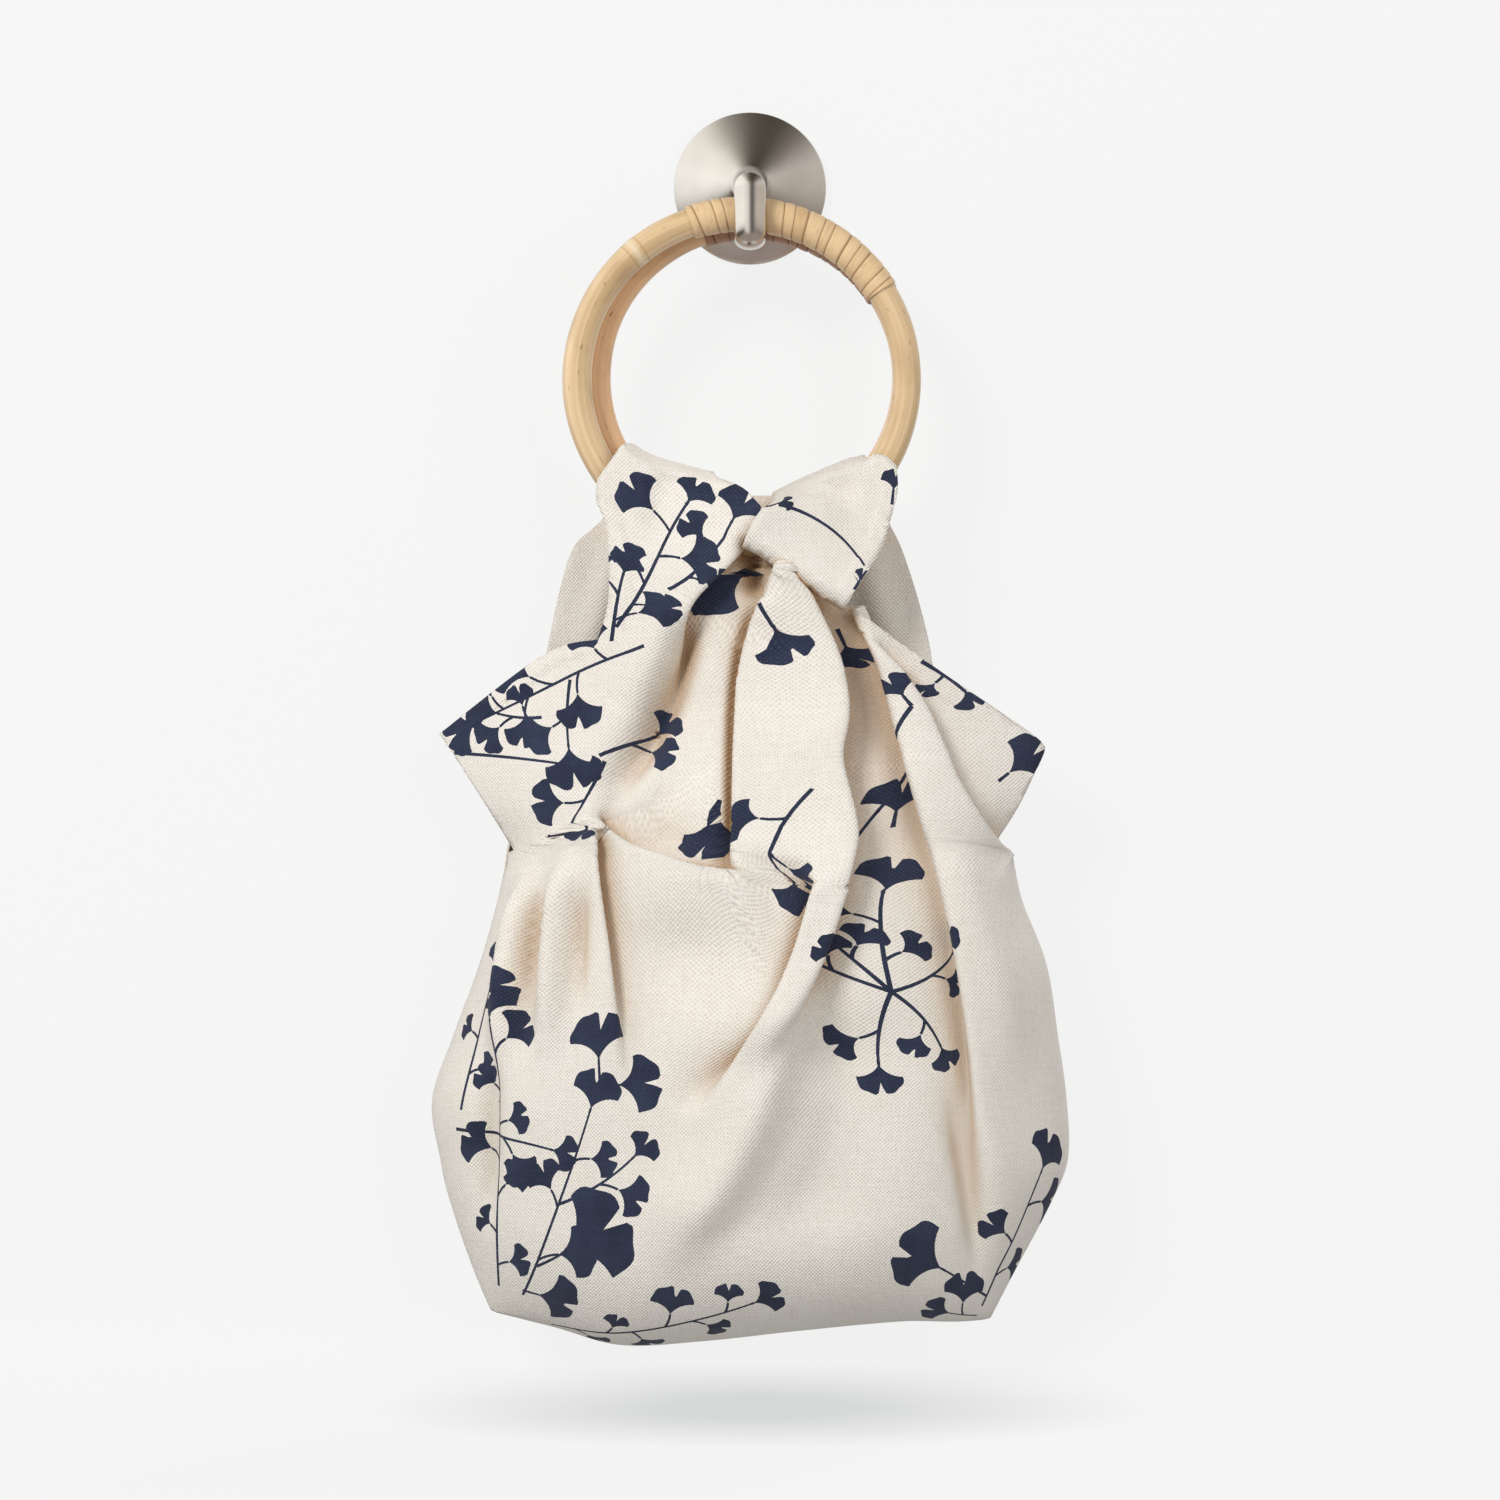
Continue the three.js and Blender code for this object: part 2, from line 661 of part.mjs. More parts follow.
function resample(points, step) {
  const result = [];
  points.forEach((point, index) => {
    if (index === 0) return;
    const [ax, az] = points[index - 1];
    const length = Math.hypot(point[0] - ax, point[1] - az);
    const parts = Math.max(1, Math.round(length / step));
    for (let part = 0; part < parts; part += 1) {
      result.push([ax + (point[0] - ax) * part / parts, az + (point[1] - az) * part / parts]);
    }
  });
  return result;
}

// Thins a finely sampled line to steps of about the given length, keeping both of its ends.
function thin(points, step) {
  const kept = [points[0]];
  for (const point of points.slice(1, -1)) {
    const [x, z] = kept[kept.length - 1];
    if (Math.hypot(point[0] - x, point[1] - z) >= step) kept.push(point);
  }
  const [lastX, lastZ] = points[points.length - 1];
  const [x, z] = kept[kept.length - 1];
  if (kept.length > 1 && Math.hypot(lastX - x, lastZ - z) < step / 2) kept.pop();
  return [...kept, [lastX, lastZ]];
}

// Places beside the folds, so that each layer of a lap and each side of a soft fold has its own
// run of points.
const LAP_OFFSETS = [0, -0.9, 0.9, -2.2, 2.2];
const LAP_ROOM = 0.8;
const FOLD_STEP = 9;
const FOLD_ROOM = 5;

function besideFolds() {
  const places = [];
  laps.forEach((lap, index) => {
    const half = lap.lap / LAP_SHARE / 2;
    for (const offset of LAP_OFFSETS) {
      thin(lap.axis, FOLD_STEP).forEach((point, step, run) => {
        const before = run[Math.max(step - 1, 0)];
        const after = run[Math.min(step + 1, run.length - 1)];
        const length = Math.hypot(after[0] - before[0], after[1] - before[1]);
        const shift = offset * half;
        const beside = [
          point[0] - (after[1] - before[1]) / length * shift,
          point[1] + (after[0] - before[0]) / length * shift,
        ];
        places.push({ place: flatten(beside, index + 1), room: half * LAP_ROOM });
      });
    }
  });
  for (const fold of softFolds) {
    for (const offset of [0, -fold.leftWidth, fold.rightWidth]) {
      thin(fold.axis, CLOTH_STEP).forEach(([x, z]) => {
        places.push({ place: flatten([x + offset, z]), room: FOLD_ROOM });
      });
    }
  }
  return places;
}

// A closed outline in even steps with no two points on one spot.
function tidyOutline(corners, step) {
  return resample([...corners, corners[0]], step).filter((point, index, all) => {
    const [x, z] = all[(index + all.length - 1) % all.length];
    return Math.hypot(point[0] - x, point[1] - z) > 1;
  });
}

// The front panel's flat outline, anticlockwise from the right notch below the ear.
const STRAP_CLOTH = 78;
const STRAP_SLANT = 8;
const STRAP_NARROWING = table(['inward', 'upward'], [[20, 40], [10, 14]]);
const KNOT_SIDE = [[3, -137], [2, -130]];
const SIDE_NOTCH = -288;
const RIGHT_CORNER = [106, -474];
const LEFT_CORNER = [-113.5, -469];
const SIDE_POINTS = 24;

const evenly = (from, to, count) => {
  return Array.from({ length: count }, (_, index) => from + (to - from) * index / (count - 1));
};

function frontOutline() {
  const side = (name, from, to) => {
    return evenly(from, to, SIDE_POINTS).map((height) => [frontCurves[name](height), height]);
  };
  const rightSide = side('right', RIGHT_CORNER[1], SIDE_NOTCH);
  const leftSide = side('left', SIDE_NOTCH, LEFT_CORNER[1]);
  const bottom = evenly(LEFT_CORNER[0], RIGHT_CORNER[0], SIDE_POINTS).map((x) => [x, bottomAt(x)]);
  const edge = (name) => drawLine(FRONT_EDGES[name]);
  const opened = (points) => points.map((point) => flatten(unroll(point)));
  const tieTop = opened(edge('tieLeftSide'))[0];
  const knotSide = opened(KNOT_SIDE);
  const strapTop = knotSide[0][1] + STRAP_CLOTH;
  const strap = [
    ...knotSide,
    [knotSide[1][0], strapTop],
    [tieTop[0] + STRAP_NARROWING[0].inward, strapTop - STRAP_SLANT],
    ...STRAP_NARROWING.map(({ inward, upward }) => [tieTop[0] + inward, tieTop[1] + upward]),
  ];
  const sides = [
    opened(rightSide),
    opened(edge('rightEarSide')),
    opened(edge('rightEarHem')),
    opened(edge('underKnot')),
    strap,
    opened(edge('tieLeftSide')),
    opened(edge('leftEarHem')),
    opened(edge('leftEarSide')),
    opened(leftSide),
    opened(bottom),
  ];
  return tidyOutline(sides.flatMap((line) => thin(line, EDGE_STEP)), EDGE_STEP);
}

// The right tie's flat outline, from its lower left tip round to its crossing edge.
const TIE_STRAP_CLOTH = 68;
const TIE_STRAP_SIDES = [12, 45];

function tieOutline() {
  const edge = (name) => drawLine(TIE_EDGES[name]);
  const [leftSide, rightSide] = TIE_STRAP_SIDES;
  const strapTop = TIE_EDGES.shoulder.at(-1)[1] + TIE_STRAP_CLOTH;
  const strapMiddle = strapTop - TIE_STRAP_CLOTH / 2;
  const strap = [
    [rightSide, strapMiddle],
    [rightSide, strapTop],
    [leftSide, strapTop],
    [leftSide, strapMiddle],
  ];
  const sides = [edge('bottom'), edge('side'), edge('shoulder'), strap, edge('crossing')];
  return tidyOutline(sides.flatMap((line) => thin(line, EDGE_STEP)), EDGE_STEP);
}

// The back panel's flat outline: its two side edges, its bottom edge and its gathered top.
function backOutline() {
  const flatBottom = (x) => bottomAt(x) + BOTTOM_ROUND * (1 - Math.PI / 2);
  const sideAt = (height, side) => {
    const section = sectionAt(height, backCurves);
    const flatHalf = section.halfWidth * flatShare(Math.PI / 2, section.depthRatio);
    return [section.centre + side * flatHalf, height];
  };
  const heights = evenly(BACK_TOP, BACK_LOW, SIDE_POINTS);
  const left = heights.map((height) => sideAt(height, -1));
  const right = heights.map((height) => sideAt(height, 1)).reverse();
  const bottom = BOTTOM_EDGE.slice(1, -1).map(({ x }) => {
    const section = sectionAt(bottomAt(x), backCurves);
    const turn = Math.asin(clamp((x - section.centre) / section.halfWidth, -1, 1));
    return [section.centre + section.halfWidth * flatShare(turn, section.depthRatio), flatBottom(x)];
  });
  return tidyOutline([...left, ...bottom, ...right], BACK_STEP);
}

function besideSoftFolds(folds, step) {
  return folds.flatMap((fold) => [0, -fold.leftWidth, fold.rightWidth].flatMap((offset) => {
    return thin(fold.axis, step).map(([x, z]) => ({ place: [x + offset, z], room: FOLD_ROOM }));
  }));
}

// A closed skin over rings of points that all have the same count. "closed" joins the last ring to
// the first, otherwise each end gets a cap.
function skinRings(rings, closed) {
  const sides = rings[0].length;
  const faces = [];
  const joins = closed ? rings.length : rings.length - 1;
  for (let ring = 0; ring < joins; ring += 1) {
    const here = ring * sides;
    const next = ((ring + 1) % rings.length) * sides;
    for (let side = 0; side < sides; side += 1) {
      const beside = (side + 1) % sides;
      faces.push([here + side, here + beside, next + beside]);
      faces.push([here + side, next + beside, next + side]);
    }
  }
  if (!closed) {
    const last = (rings.length - 1) * sides;
    for (let side = 1; side < sides - 1; side += 1) {
      faces.push([0, side + 1, side], [last, last + side, last + side + 1]);
    }
  }
  return solidFromFaces(rings.flat(), faces);
}

// One section of a cane ring: "angle" is measured from the ring's top towards the right.
const RING_SIDES = 10;

function ringSection(centre, depth, middleRadius, angle, tubeRadius) {
  return Array.from({ length: RING_SIDES }, (_, side) => {
    const round = side / RING_SIDES * 2 * Math.PI;
    const reach = middleRadius + tubeRadius * Math.cos(round);
    return new THREE.Vector3(
      centre[0] + reach * Math.sin(angle),
      depth - tubeRadius * Math.sin(round),
      centre[1] + reach * Math.cos(angle),
    );
  });
}

const RING_STEPS = 40;
const RING_STEP_ANGLE = 2 * Math.PI / RING_STEPS;

function ringPiece(diameter, centre, depth) {
  const middleRadius = (diameter - TUBE_DIAMETER) / 2;
  const rings = Array.from({ length: RING_STEPS }, (_, step) => {
    return ringSection(centre, depth, middleRadius, step * RING_STEP_ANGLE, TUBE_DIAMETER / 2);
  });
  return skinRings(rings, true);
}

// The binding is a sleeve round the ring's top. Its outside rises and sinks once for each turn.
function bindingPiece(diameter, centre, depth) {
  const middleRadius = (diameter - TUBE_DIAMETER) / 2;
  const start = THREE.MathUtils.degToRad(BINDING_START);
  const sweep = THREE.MathUtils.degToRad(BINDING_SWEEP);
  const inside = TUBE_DIAMETER / 2 + PIECE_GAP;
  const outside = inside + BINDING_THICKNESS;
  const outer = evenly(start, start + sweep, 2 * BINDING_TURNS + 1).map((angle, step) => {
    const groove = step % 2 === 0 ? BINDING_RIDGE : 0;
    return ringSection(centre, depth, middleRadius, angle, outside - groove);
  });
  const innerSteps = Math.round(sweep / RING_STEP_ANGLE);
  const inner = evenly(start + sweep, start, innerSteps + 1).map((angle) => {
    return ringSection(centre, depth, middleRadius, angle, inside);
  });
  return skinRings([...outer, ...inner], true);
}

// The wall plate: a shallow cone with a flat back and a short nose that carries the prong.
const PLATE_PROFILE = table(
  ['radius', 'depth'],
  [
    [0, 0],
    [PLATE_DIAMETER / 2, 0],
    [PLATE_DIAMETER / 2, PLATE_RIM],
    [PLATE_DIAMETER / 2 - 0.8, PLATE_RIM + 0.9],
    [NOSE_DIAMETER / 2 + 1, PLATE_DEPTH - 0.6],
    [NOSE_DIAMETER / 2, PLATE_DEPTH],
    [NOSE_DIAMETER / 2, NOSE_DEPTH - 0.8],
    [NOSE_DIAMETER / 2 - 0.8, NOSE_DEPTH],
    [0, NOSE_DEPTH],
  ],
);
const PLATE_SIDES = 40;

function platePiece() {
  const profile = PLATE_PROFILE.map(({ radius, depth }) => new THREE.Vector2(radius, depth));
  return new THREE.LatheGeometry(profile, PLATE_SIDES).rotateX(Math.PI);
}

// The prong's middle line in the plane X = 0: depth and height of places along it.
const PRONG_LINE = table(
  ['depth', 'height'],
  [
    [-16.5, 0],
    [-18.4, 0.2],
    [-20.2, -5],
    [-20.2, -15],
    [-23.8, -29.4],
    [-34, -34],
    [-43, -33.2],
    [-52, -31],
    [-61.3, -26],
    [-64.5, -15],
    [-64.6, -6.4],
  ],
);
const PRONG_STEPS = 22;
const PRONG_SIDES = 12;
const PRONG_TIP = table(['reach', 'size'], [[0.5, 0.9], [0.8, 0.65], [0.97, 0.3]]);

function prongPiece() {
  const places = PRONG_LINE.map(({ depth, height }) => new THREE.Vector3(0, depth, height));
  const curve = new THREE.CatmullRomCurve3(places);
  const across = new THREE.Vector3(1, 0, 0);
  const sectionOf = (centre, tangent, share) => {
    const up = new THREE.Vector3().crossVectors(tangent, across).normalize();
    return Array.from({ length: PRONG_SIDES }, (_, side) => {
      const round = side / PRONG_SIDES * 2 * Math.PI;
      return centre.clone()
        .addScaledVector(across, Math.cos(round) * share * PRONG_WIDTH / 2)
        .addScaledVector(up, Math.sin(round) * share * PRONG_HEIGHT / 2);
    });
  };
  const sections = Array.from({ length: PRONG_STEPS + 1 }, (_, step) => {
    const at = step / PRONG_STEPS;
    return sectionOf(curve.getPointAt(at), curve.getTangentAt(at), 1);
  });
  const end = curve.getPointAt(1);
  const tangent = curve.getTangentAt(1);
  for (const { reach, size } of PRONG_TIP) {
    const centre = end.clone().addScaledVector(tangent, reach * PRONG_HEIGHT / 2);
    sections.push(sectionOf(centre, tangent, size));
  }
  return skinRings(sections, false);
}

const cloth = new THREE.MeshStandardMaterial({ color: 0xe9e0d2, roughness: 0.9, metalness: 0 });
const cane = new THREE.MeshStandardMaterial({ color: 0xd2a873, roughness: 0.5, metalness: 0 });
const steel = new THREE.MeshStandardMaterial({ color: 0xb9b4ad, roughness: 0.35, metalness: 1 });

const bag = new THREE.Group();

function addPiece(name, geometry, material) {
  const piece = new THREE.Mesh(geometry, material.clone());
  piece.name = name;
  bag.add(piece);
}

const backPlaces = besideSoftFolds(backFolds, BACK_STEP);
const tiePlaces = besideSoftFolds(tieFolds, TIE_STEP);
const frontRing = [FRONT_RING_DIAMETER, FRONT_RING_CENTRE, FRONT_RING_DEPTH];
const backRing = [BACK_RING_DIAMETER, BACK_RING_CENTRE, BACK_RING_DEPTH];
addPiece('front_panel', clothPiece(frontOutline(), besideFolds(), drapeFront, CLOTH_STEP), cloth);
addPiece('back_panel', clothPiece(backOutline(), backPlaces, drapeBack, BACK_STEP), cloth);
addPiece('right_tie', clothPiece(tieOutline(), tiePlaces, drapeTie, TIE_STEP), cloth);
addPiece('ring_front', ringPiece(...frontRing), cane);
addPiece('ring_back', ringPiece(...backRing), cane);
addPiece('binding_front', bindingPiece(...frontRing), cane);
addPiece('binding_back', bindingPiece(...backRing), cane);
addPiece('hook_plate', platePiece(), steel);
addPiece('hook_prong', prongPiece(), steel);

export default bag;
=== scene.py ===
# %% [markdown]
# A bag of printed cotton is knotted round two bent cane rings, and the rings hang on a round steel
# wall hook. This lesson builds its look round the imported part. Places are worked out in
# millimetres, as a maker measures, and turned into metres when a mesh is made.
#
# The frame comes first. It brings in the part's solids.

import math

import bpy
import numpy as np
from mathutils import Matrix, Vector
from mathutils.geometry import delaunay_2d_cdt


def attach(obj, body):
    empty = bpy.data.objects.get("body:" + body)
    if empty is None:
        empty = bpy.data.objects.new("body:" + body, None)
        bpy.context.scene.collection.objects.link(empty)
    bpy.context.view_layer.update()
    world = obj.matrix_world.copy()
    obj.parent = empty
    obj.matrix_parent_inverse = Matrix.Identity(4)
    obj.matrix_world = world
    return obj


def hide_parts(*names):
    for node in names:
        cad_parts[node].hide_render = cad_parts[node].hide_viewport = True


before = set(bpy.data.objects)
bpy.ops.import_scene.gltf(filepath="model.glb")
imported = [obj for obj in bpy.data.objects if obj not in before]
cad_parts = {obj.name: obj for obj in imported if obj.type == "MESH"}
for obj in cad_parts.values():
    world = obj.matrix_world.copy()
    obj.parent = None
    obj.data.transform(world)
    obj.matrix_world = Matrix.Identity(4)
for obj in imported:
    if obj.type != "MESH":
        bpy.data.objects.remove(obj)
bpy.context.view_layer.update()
MM = 0.001
print("frame nodes:", sorted(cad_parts))

# %% [markdown]
# Cloth that hangs can't be drawn with one curve. Its shape is given section by section instead, as
# a pattern cutter pins it on a stand: how wide the bag is at a height, how deep its side edges lie,
# how far its middle stands out, and how flat the section is. Each row is one height. Widths are as
# they look from in front of the bag, on the plane SIGHT_PLANE, because that is how they can be
# judged. Below the wings both panels share their side edges, so the low rows serve them both, with
# a bulge for the front and one for the back.

# %% The bag's sections
SIGHT_PLANE = -42.0
SIGHT_DISTANCE = 1600.0
SIGHT_HEIGHT = -243.7


def table(columns, rows):
    return [dict(zip(columns, row)) for row in rows]


LOW_EDGE = {"front": -48, "back": -47.2}
LOW_SECTIONS = table(
    ["height", "left", "right", "front", "back", "flatness"],
    [
        [-500, -100, 93, 46, -38, 1],
        [-468, -114.7, 109.5, 48, -41, 1],
        [-434, -126.6, 127.4, 50, -43, 1],
        [-417, -130.5, 134, 51, -43, 1],
        [-392, -134, 133.5, 52, -43, 1],
        [-366, -125.5, 130, 51, -43, 1],
        [-333, -113.5, 124.5, 49, -43, 1],
        [-300, -104.5, 111, 46, -42, 1.1],
    ],
)
NECK_COLUMNS = ["height", "left", "right", "edge", "bulge", "flatness"]
FRONT_NECK = table(
    NECK_COLUMNS,
    [
        [-284, -103.5, 107.5, -47, 43, 1.3],
        [-264, -126, 128, -45, 40, 1.6],
        [-244, -141, 136, -43, 36, 1.8],
        [-220, -130, 118, -46, 27, 1.9],
        [-197, -104, 95, -53, 16, 2],
        [-165, -82, 78, -60, 7, 2],
        [-138, -74, 74, -61.5, 4, 2],
        [-108, -74, 74, -61.5, 3, 2],
    ],
)
BACK_NECK = table(
    NECK_COLUMNS,
    [
        [-284, -102, 106, -46, -40, 1.2],
        [-252, -94, 90, -44, -37, 1.6],
        [-222, -90, 80, -40, -32, 2.4],
        [-197, -85, 75.5, -35, -26, 3.6],
        [-176, -80.5, 70, -30, -20, 4],
        [-157, -74, 63.5, -25, -14, 4],
        [-146, -62, 58, -19, -8, 4],
        [-136, -60, 56, -16, -5, 4],
    ],
)
BOTTOM_EDGE = table(
    ["x", "height"],
    [
        [-125, -462],
        [-114, -471],
        [-104, -480],
        [-80, -488],
        [-55, -495],
        [-21, -493.5],
        [21, -489],
        [64, -485],
        [95, -484],
        [105, -476],
        [125, -458],
    ],
)
print("sections:", len(LOW_SECTIONS), "shared,", len(FRONT_NECK), "front,", len(BACK_NECK), "back")

# %% [markdown]
# The cloth needs the value of a column at any height, not only at the rows. A cubic curve through
# the rows gives it. Its slope at a row is the slope between that row's two neighbours, so the
# outline has no kinks and doesn't swing past the numbers as a single high curve would.

# %% Read a smooth curve from a table's column


def smooth(value):
    t = np.clip(value, 0.0, 1.0)
    return t * t * (3 - 2 * t)


def read_curve(rows, at, column):
    places = np.array([row[at] for row in rows], float)
    values = np.array([row[column] for row in rows], float)
    order = np.arange(len(rows))
    before = np.maximum(order - 1, 0)
    after = np.minimum(order + 1, len(rows) - 1)
    slopes = (values[after] - values[before]) / (places[after] - places[before])

    def read(place):
        inside = np.clip(place, places[0], places[-1])
        index = np.clip(np.searchsorted(places, inside) - 1, 0, len(places) - 2)
        span = places[index + 1] - places[index]
        t = (inside - places[index]) / span
        rest = 1 - t
        start = values[index] * (1 + 2 * t) + slopes[index] * span * t
        end = values[index + 1] * (3 - 2 * t) - slopes[index + 1] * span * rest
        return start * rest**2 + end * t**2

    return read


def read_sections(panel, neck):
    low = [{**row, "edge": LOW_EDGE[panel], "bulge": row[panel]} for row in LOW_SECTIONS]
    columns = ["left", "right", "edge", "bulge", "flatness"]
    return {column: read_curve(low + neck, "height", column) for column in columns}


front_curves = read_sections("front", FRONT_NECK)
back_curves = read_sections("back", BACK_NECK)
bottom_at = read_curve(BOTTOM_EDGE, "x", "height")
print("belly at -392:", float(front_curves["bulge"](-392)), "mm in front of its edges")

# %% [markdown]
# A print and a weave lie in the flat cloth, so the cloth is kept flat as long as possible. Each
# section is unrolled to its true length round the bag, and the bottom's rounding too. These
# functions go from a place as seen to the flat cloth: creases and leaves are set where they should
# be seen, and this finds where they lie before the cloth is hung.

# %% From the bag to the flat cloth
BOTTOM_ROUND = 42.0


def flat_share(turn, depth_ratio):
    return (1 - depth_ratio) * np.sin(turn) + depth_ratio * turn


def section_at(height, curves):
    left, right = curves["left"](height), curves["right"](height)
    half_width = (right - left) / 2
    bulge, flatness = curves["bulge"](height), curves["flatness"](height)
    return {
        "centre": (left + right) / 2,
        "half_width": half_width,
        "edge": curves["edge"](height),
        "bulge": bulge,
        "flatness": flatness,
        "depth_ratio": np.abs(bulge) / half_width / flatness,
    }


def unroll(seen):
    x, z = np.asarray(seen, float).T
    round_from = bottom_at(x) + BOTTOM_ROUND
    under = np.clip((round_from - z) / BOTTOM_ROUND, 0, 1)
    along = np.where(under > 0, round_from - BOTTOM_ROUND * np.arcsin(under), z)
    section = section_at(z, front_curves)
    turn = np.arcsin(np.clip((x - section["centre"]) / section["half_width"], -1, 1))
    across = section["centre"] + section["half_width"] * flat_share(turn, section["depth_ratio"])
    return np.stack([across, along], 1)


strip = unroll([[0, -300], [60, -300]])[:, 0]
print("60 mm as seen at the middle is", round(float(strip[1] - strip[0]), 1), "mm of cloth")

# %% [markdown]
# The way back is needed as well, because the mesh is made flat and then hung. No plain formula
# turns a length round a section into an angle, so a few rounds of Newton's method find it. The
# last function moves the hung cloth from its true place to where it is seen, nearer things larger.

# %% From the flat cloth to the bag
TURN_ROUNDS = 12


def turn_of(share, depth_ratio):
    limit = flat_share(np.pi / 2, depth_ratio)
    goal = np.clip(share, -limit, limit)
    turn = goal / limit
    for _ in range(TURN_ROUNDS):
        slope = (1 - depth_ratio) * np.cos(turn) + depth_ratio
        turn = np.clip(turn - (flat_share(turn, depth_ratio) - goal) / slope, -np.pi / 2, np.pi / 2)
    return turn


def turn_at(across, section):
    return turn_of((across - section["centre"]) / section["half_width"], section["depth_ratio"])


def bare_shell(flat, curves):
    across, along = flat.T
    rough = section_at(along, curves)
    rough_x = rough["centre"] + rough["half_width"] * np.sin(turn_at(across, rough))
    round_from = bottom_at(rough_x) + BOTTOM_ROUND
    under = np.clip((round_from - along) / BOTTOM_ROUND, 0, np.pi / 2)
    z = np.where(under > 0, round_from - BOTTOM_ROUND * np.sin(under), along)
    section = section_at(z, curves)
    turn = turn_at(across, section)
    x = section["centre"] + section["half_width"] * np.sin(turn)
    arch = np.maximum(np.cos(turn), 0) ** section["flatness"]
    return np.stack([x, section["edge"] - section["bulge"] * arch * np.cos(under), z], 1)


def as_seen(points):
    scale = 1 + (points[:, 1] - SIGHT_PLANE) / SIGHT_DISTANCE
    height = SIGHT_HEIGHT + (points[:, 2] - SIGHT_HEIGHT) * scale
    return np.stack([points[:, 0] * scale, points[:, 1], height], 1)


print("the belly hangs at", bare_shell(unroll([[0, -392]]), front_curves).round(1).tolist(), "mm")

# %% [markdown]
# The ties pass over the rings. Above a turning line the cloth is carried back over the canes and
# hangs down behind them, on half an ellipse. Each tie has its own line, as it leaves the knot at
# its own slant.

# %% The turn over the rings
TURN_HEIGHT = 6.0
TURN_BACK = -26.6
TURN_CLOTH = 46.0
LEFT_TURN = table(
    ["x", "height"], [[-58, -108], [-52, -118], [-42, -125], [-25, -130], [8, -140]]
)
RIGHT_TURN = table(
    ["x", "height"], [[8, -142], [21, -135.5], [42, -126.5], [49, -124], [55, -110]]
)
left_turn_line = read_curve(LEFT_TURN, "x", "height")
right_turn_line = read_curve(RIGHT_TURN, "x", "height")


def over_rings(points, turn_line):
    x, y, z = points.T
    line = turn_line(x)
    beyond = np.maximum(z - line, 0)
    angle = np.minimum(beyond / TURN_CLOTH, 1) * np.pi
    hang = np.maximum(beyond - TURN_CLOTH, 0)
    reach = (TURN_BACK - y) / 2
    turned = (y + TURN_BACK) / 2 - reach * np.cos(angle)
    height = line + TURN_HEIGHT * np.sin(angle) - hang
    over = beyond > 0
    return np.stack([x, np.where(over, turned, y), np.where(over, height, z)], 1)


def front_shell(flat):
    return over_rings(bare_shell(flat, front_curves), left_turn_line)


def back_shell(flat):
    return bare_shell(flat, back_curves)


print("the ties turn over", TURN_CLOTH, "mm of cloth")

# %% [markdown]
# Folds are of two kinds. A lap is a place where the cloth doubles back under itself, as a pleat or
# the lip of a cowl does. It is made by gathering the flat cloth towards a line, so three layers lie
# there, the upper one raised. Each lap is one row: the side it tucks under, its depth, its height,
# and the line that it follows as seen. Its strength grows and dies over the open and close lengths.

# %% The laps
LAPS = table(
    ["name", "under", "lap", "height", "spread", "tuck", "open", "close", "line"],
    [
        ["left wing hem", 1, 6, 10, 26, 6, 0, 45,
         [[12, -134], [-2, -158], [-15, -172], [-25, -182], [-30, -202], [-38, -228]]],
        ["first pleat", -1, 4, 8, 16, 6, 10, 14,
         [[14, -160], [6, -176], [-2, -197], [-6, -222], [-7, -248], [-8, -300]]],
        ["second pleat", 1, 6, 14, 22, 9, 14, 60,
         [[12, -154], [20, -168], [30, -189], [37, -206], [41, -231], [37, -247], [40, -261],
          [44, -278], [42, -294], [37, -313], [30, -334], [18, -358], [2, -382]]],
        ["cowl lip", 1, 7, 10, 24, 7, 14, 24,
         [[-68, -266], [-59, -278], [-47, -286], [-28, -293], [-12, -296], [4, -295]]],
        ["big roll", -1, 5, 7, 12, 14, 18, 50,
         [[26, -291], [25, -304], [21, -321], [13, -342], [4, -360], [-9, -380], [-28, -400]]],
        ["left crease", 1, 3.5, 7, 18, 4, 20, 60,
         [[-64, -275], [-61, -307], [-58, -333], [-56, -354], [-52, -390]]],
        ["right crease", -1, 4, 8, 24, 7, 16, 120,
         [[36, -164], [45, -189], [54, -213], [63, -248], [73, -286], [81, -316], [88, -350],
          [94, -392], [98, -434], [100, -465]]],
        ["right ear fold", 1, 4, 7, 18, 5, 26, 0,
         [[46, -190], [71, -225], [89, -265], [106, -290]]],
    ],
)
print("laps:", [lap["name"] for lap in LAPS])
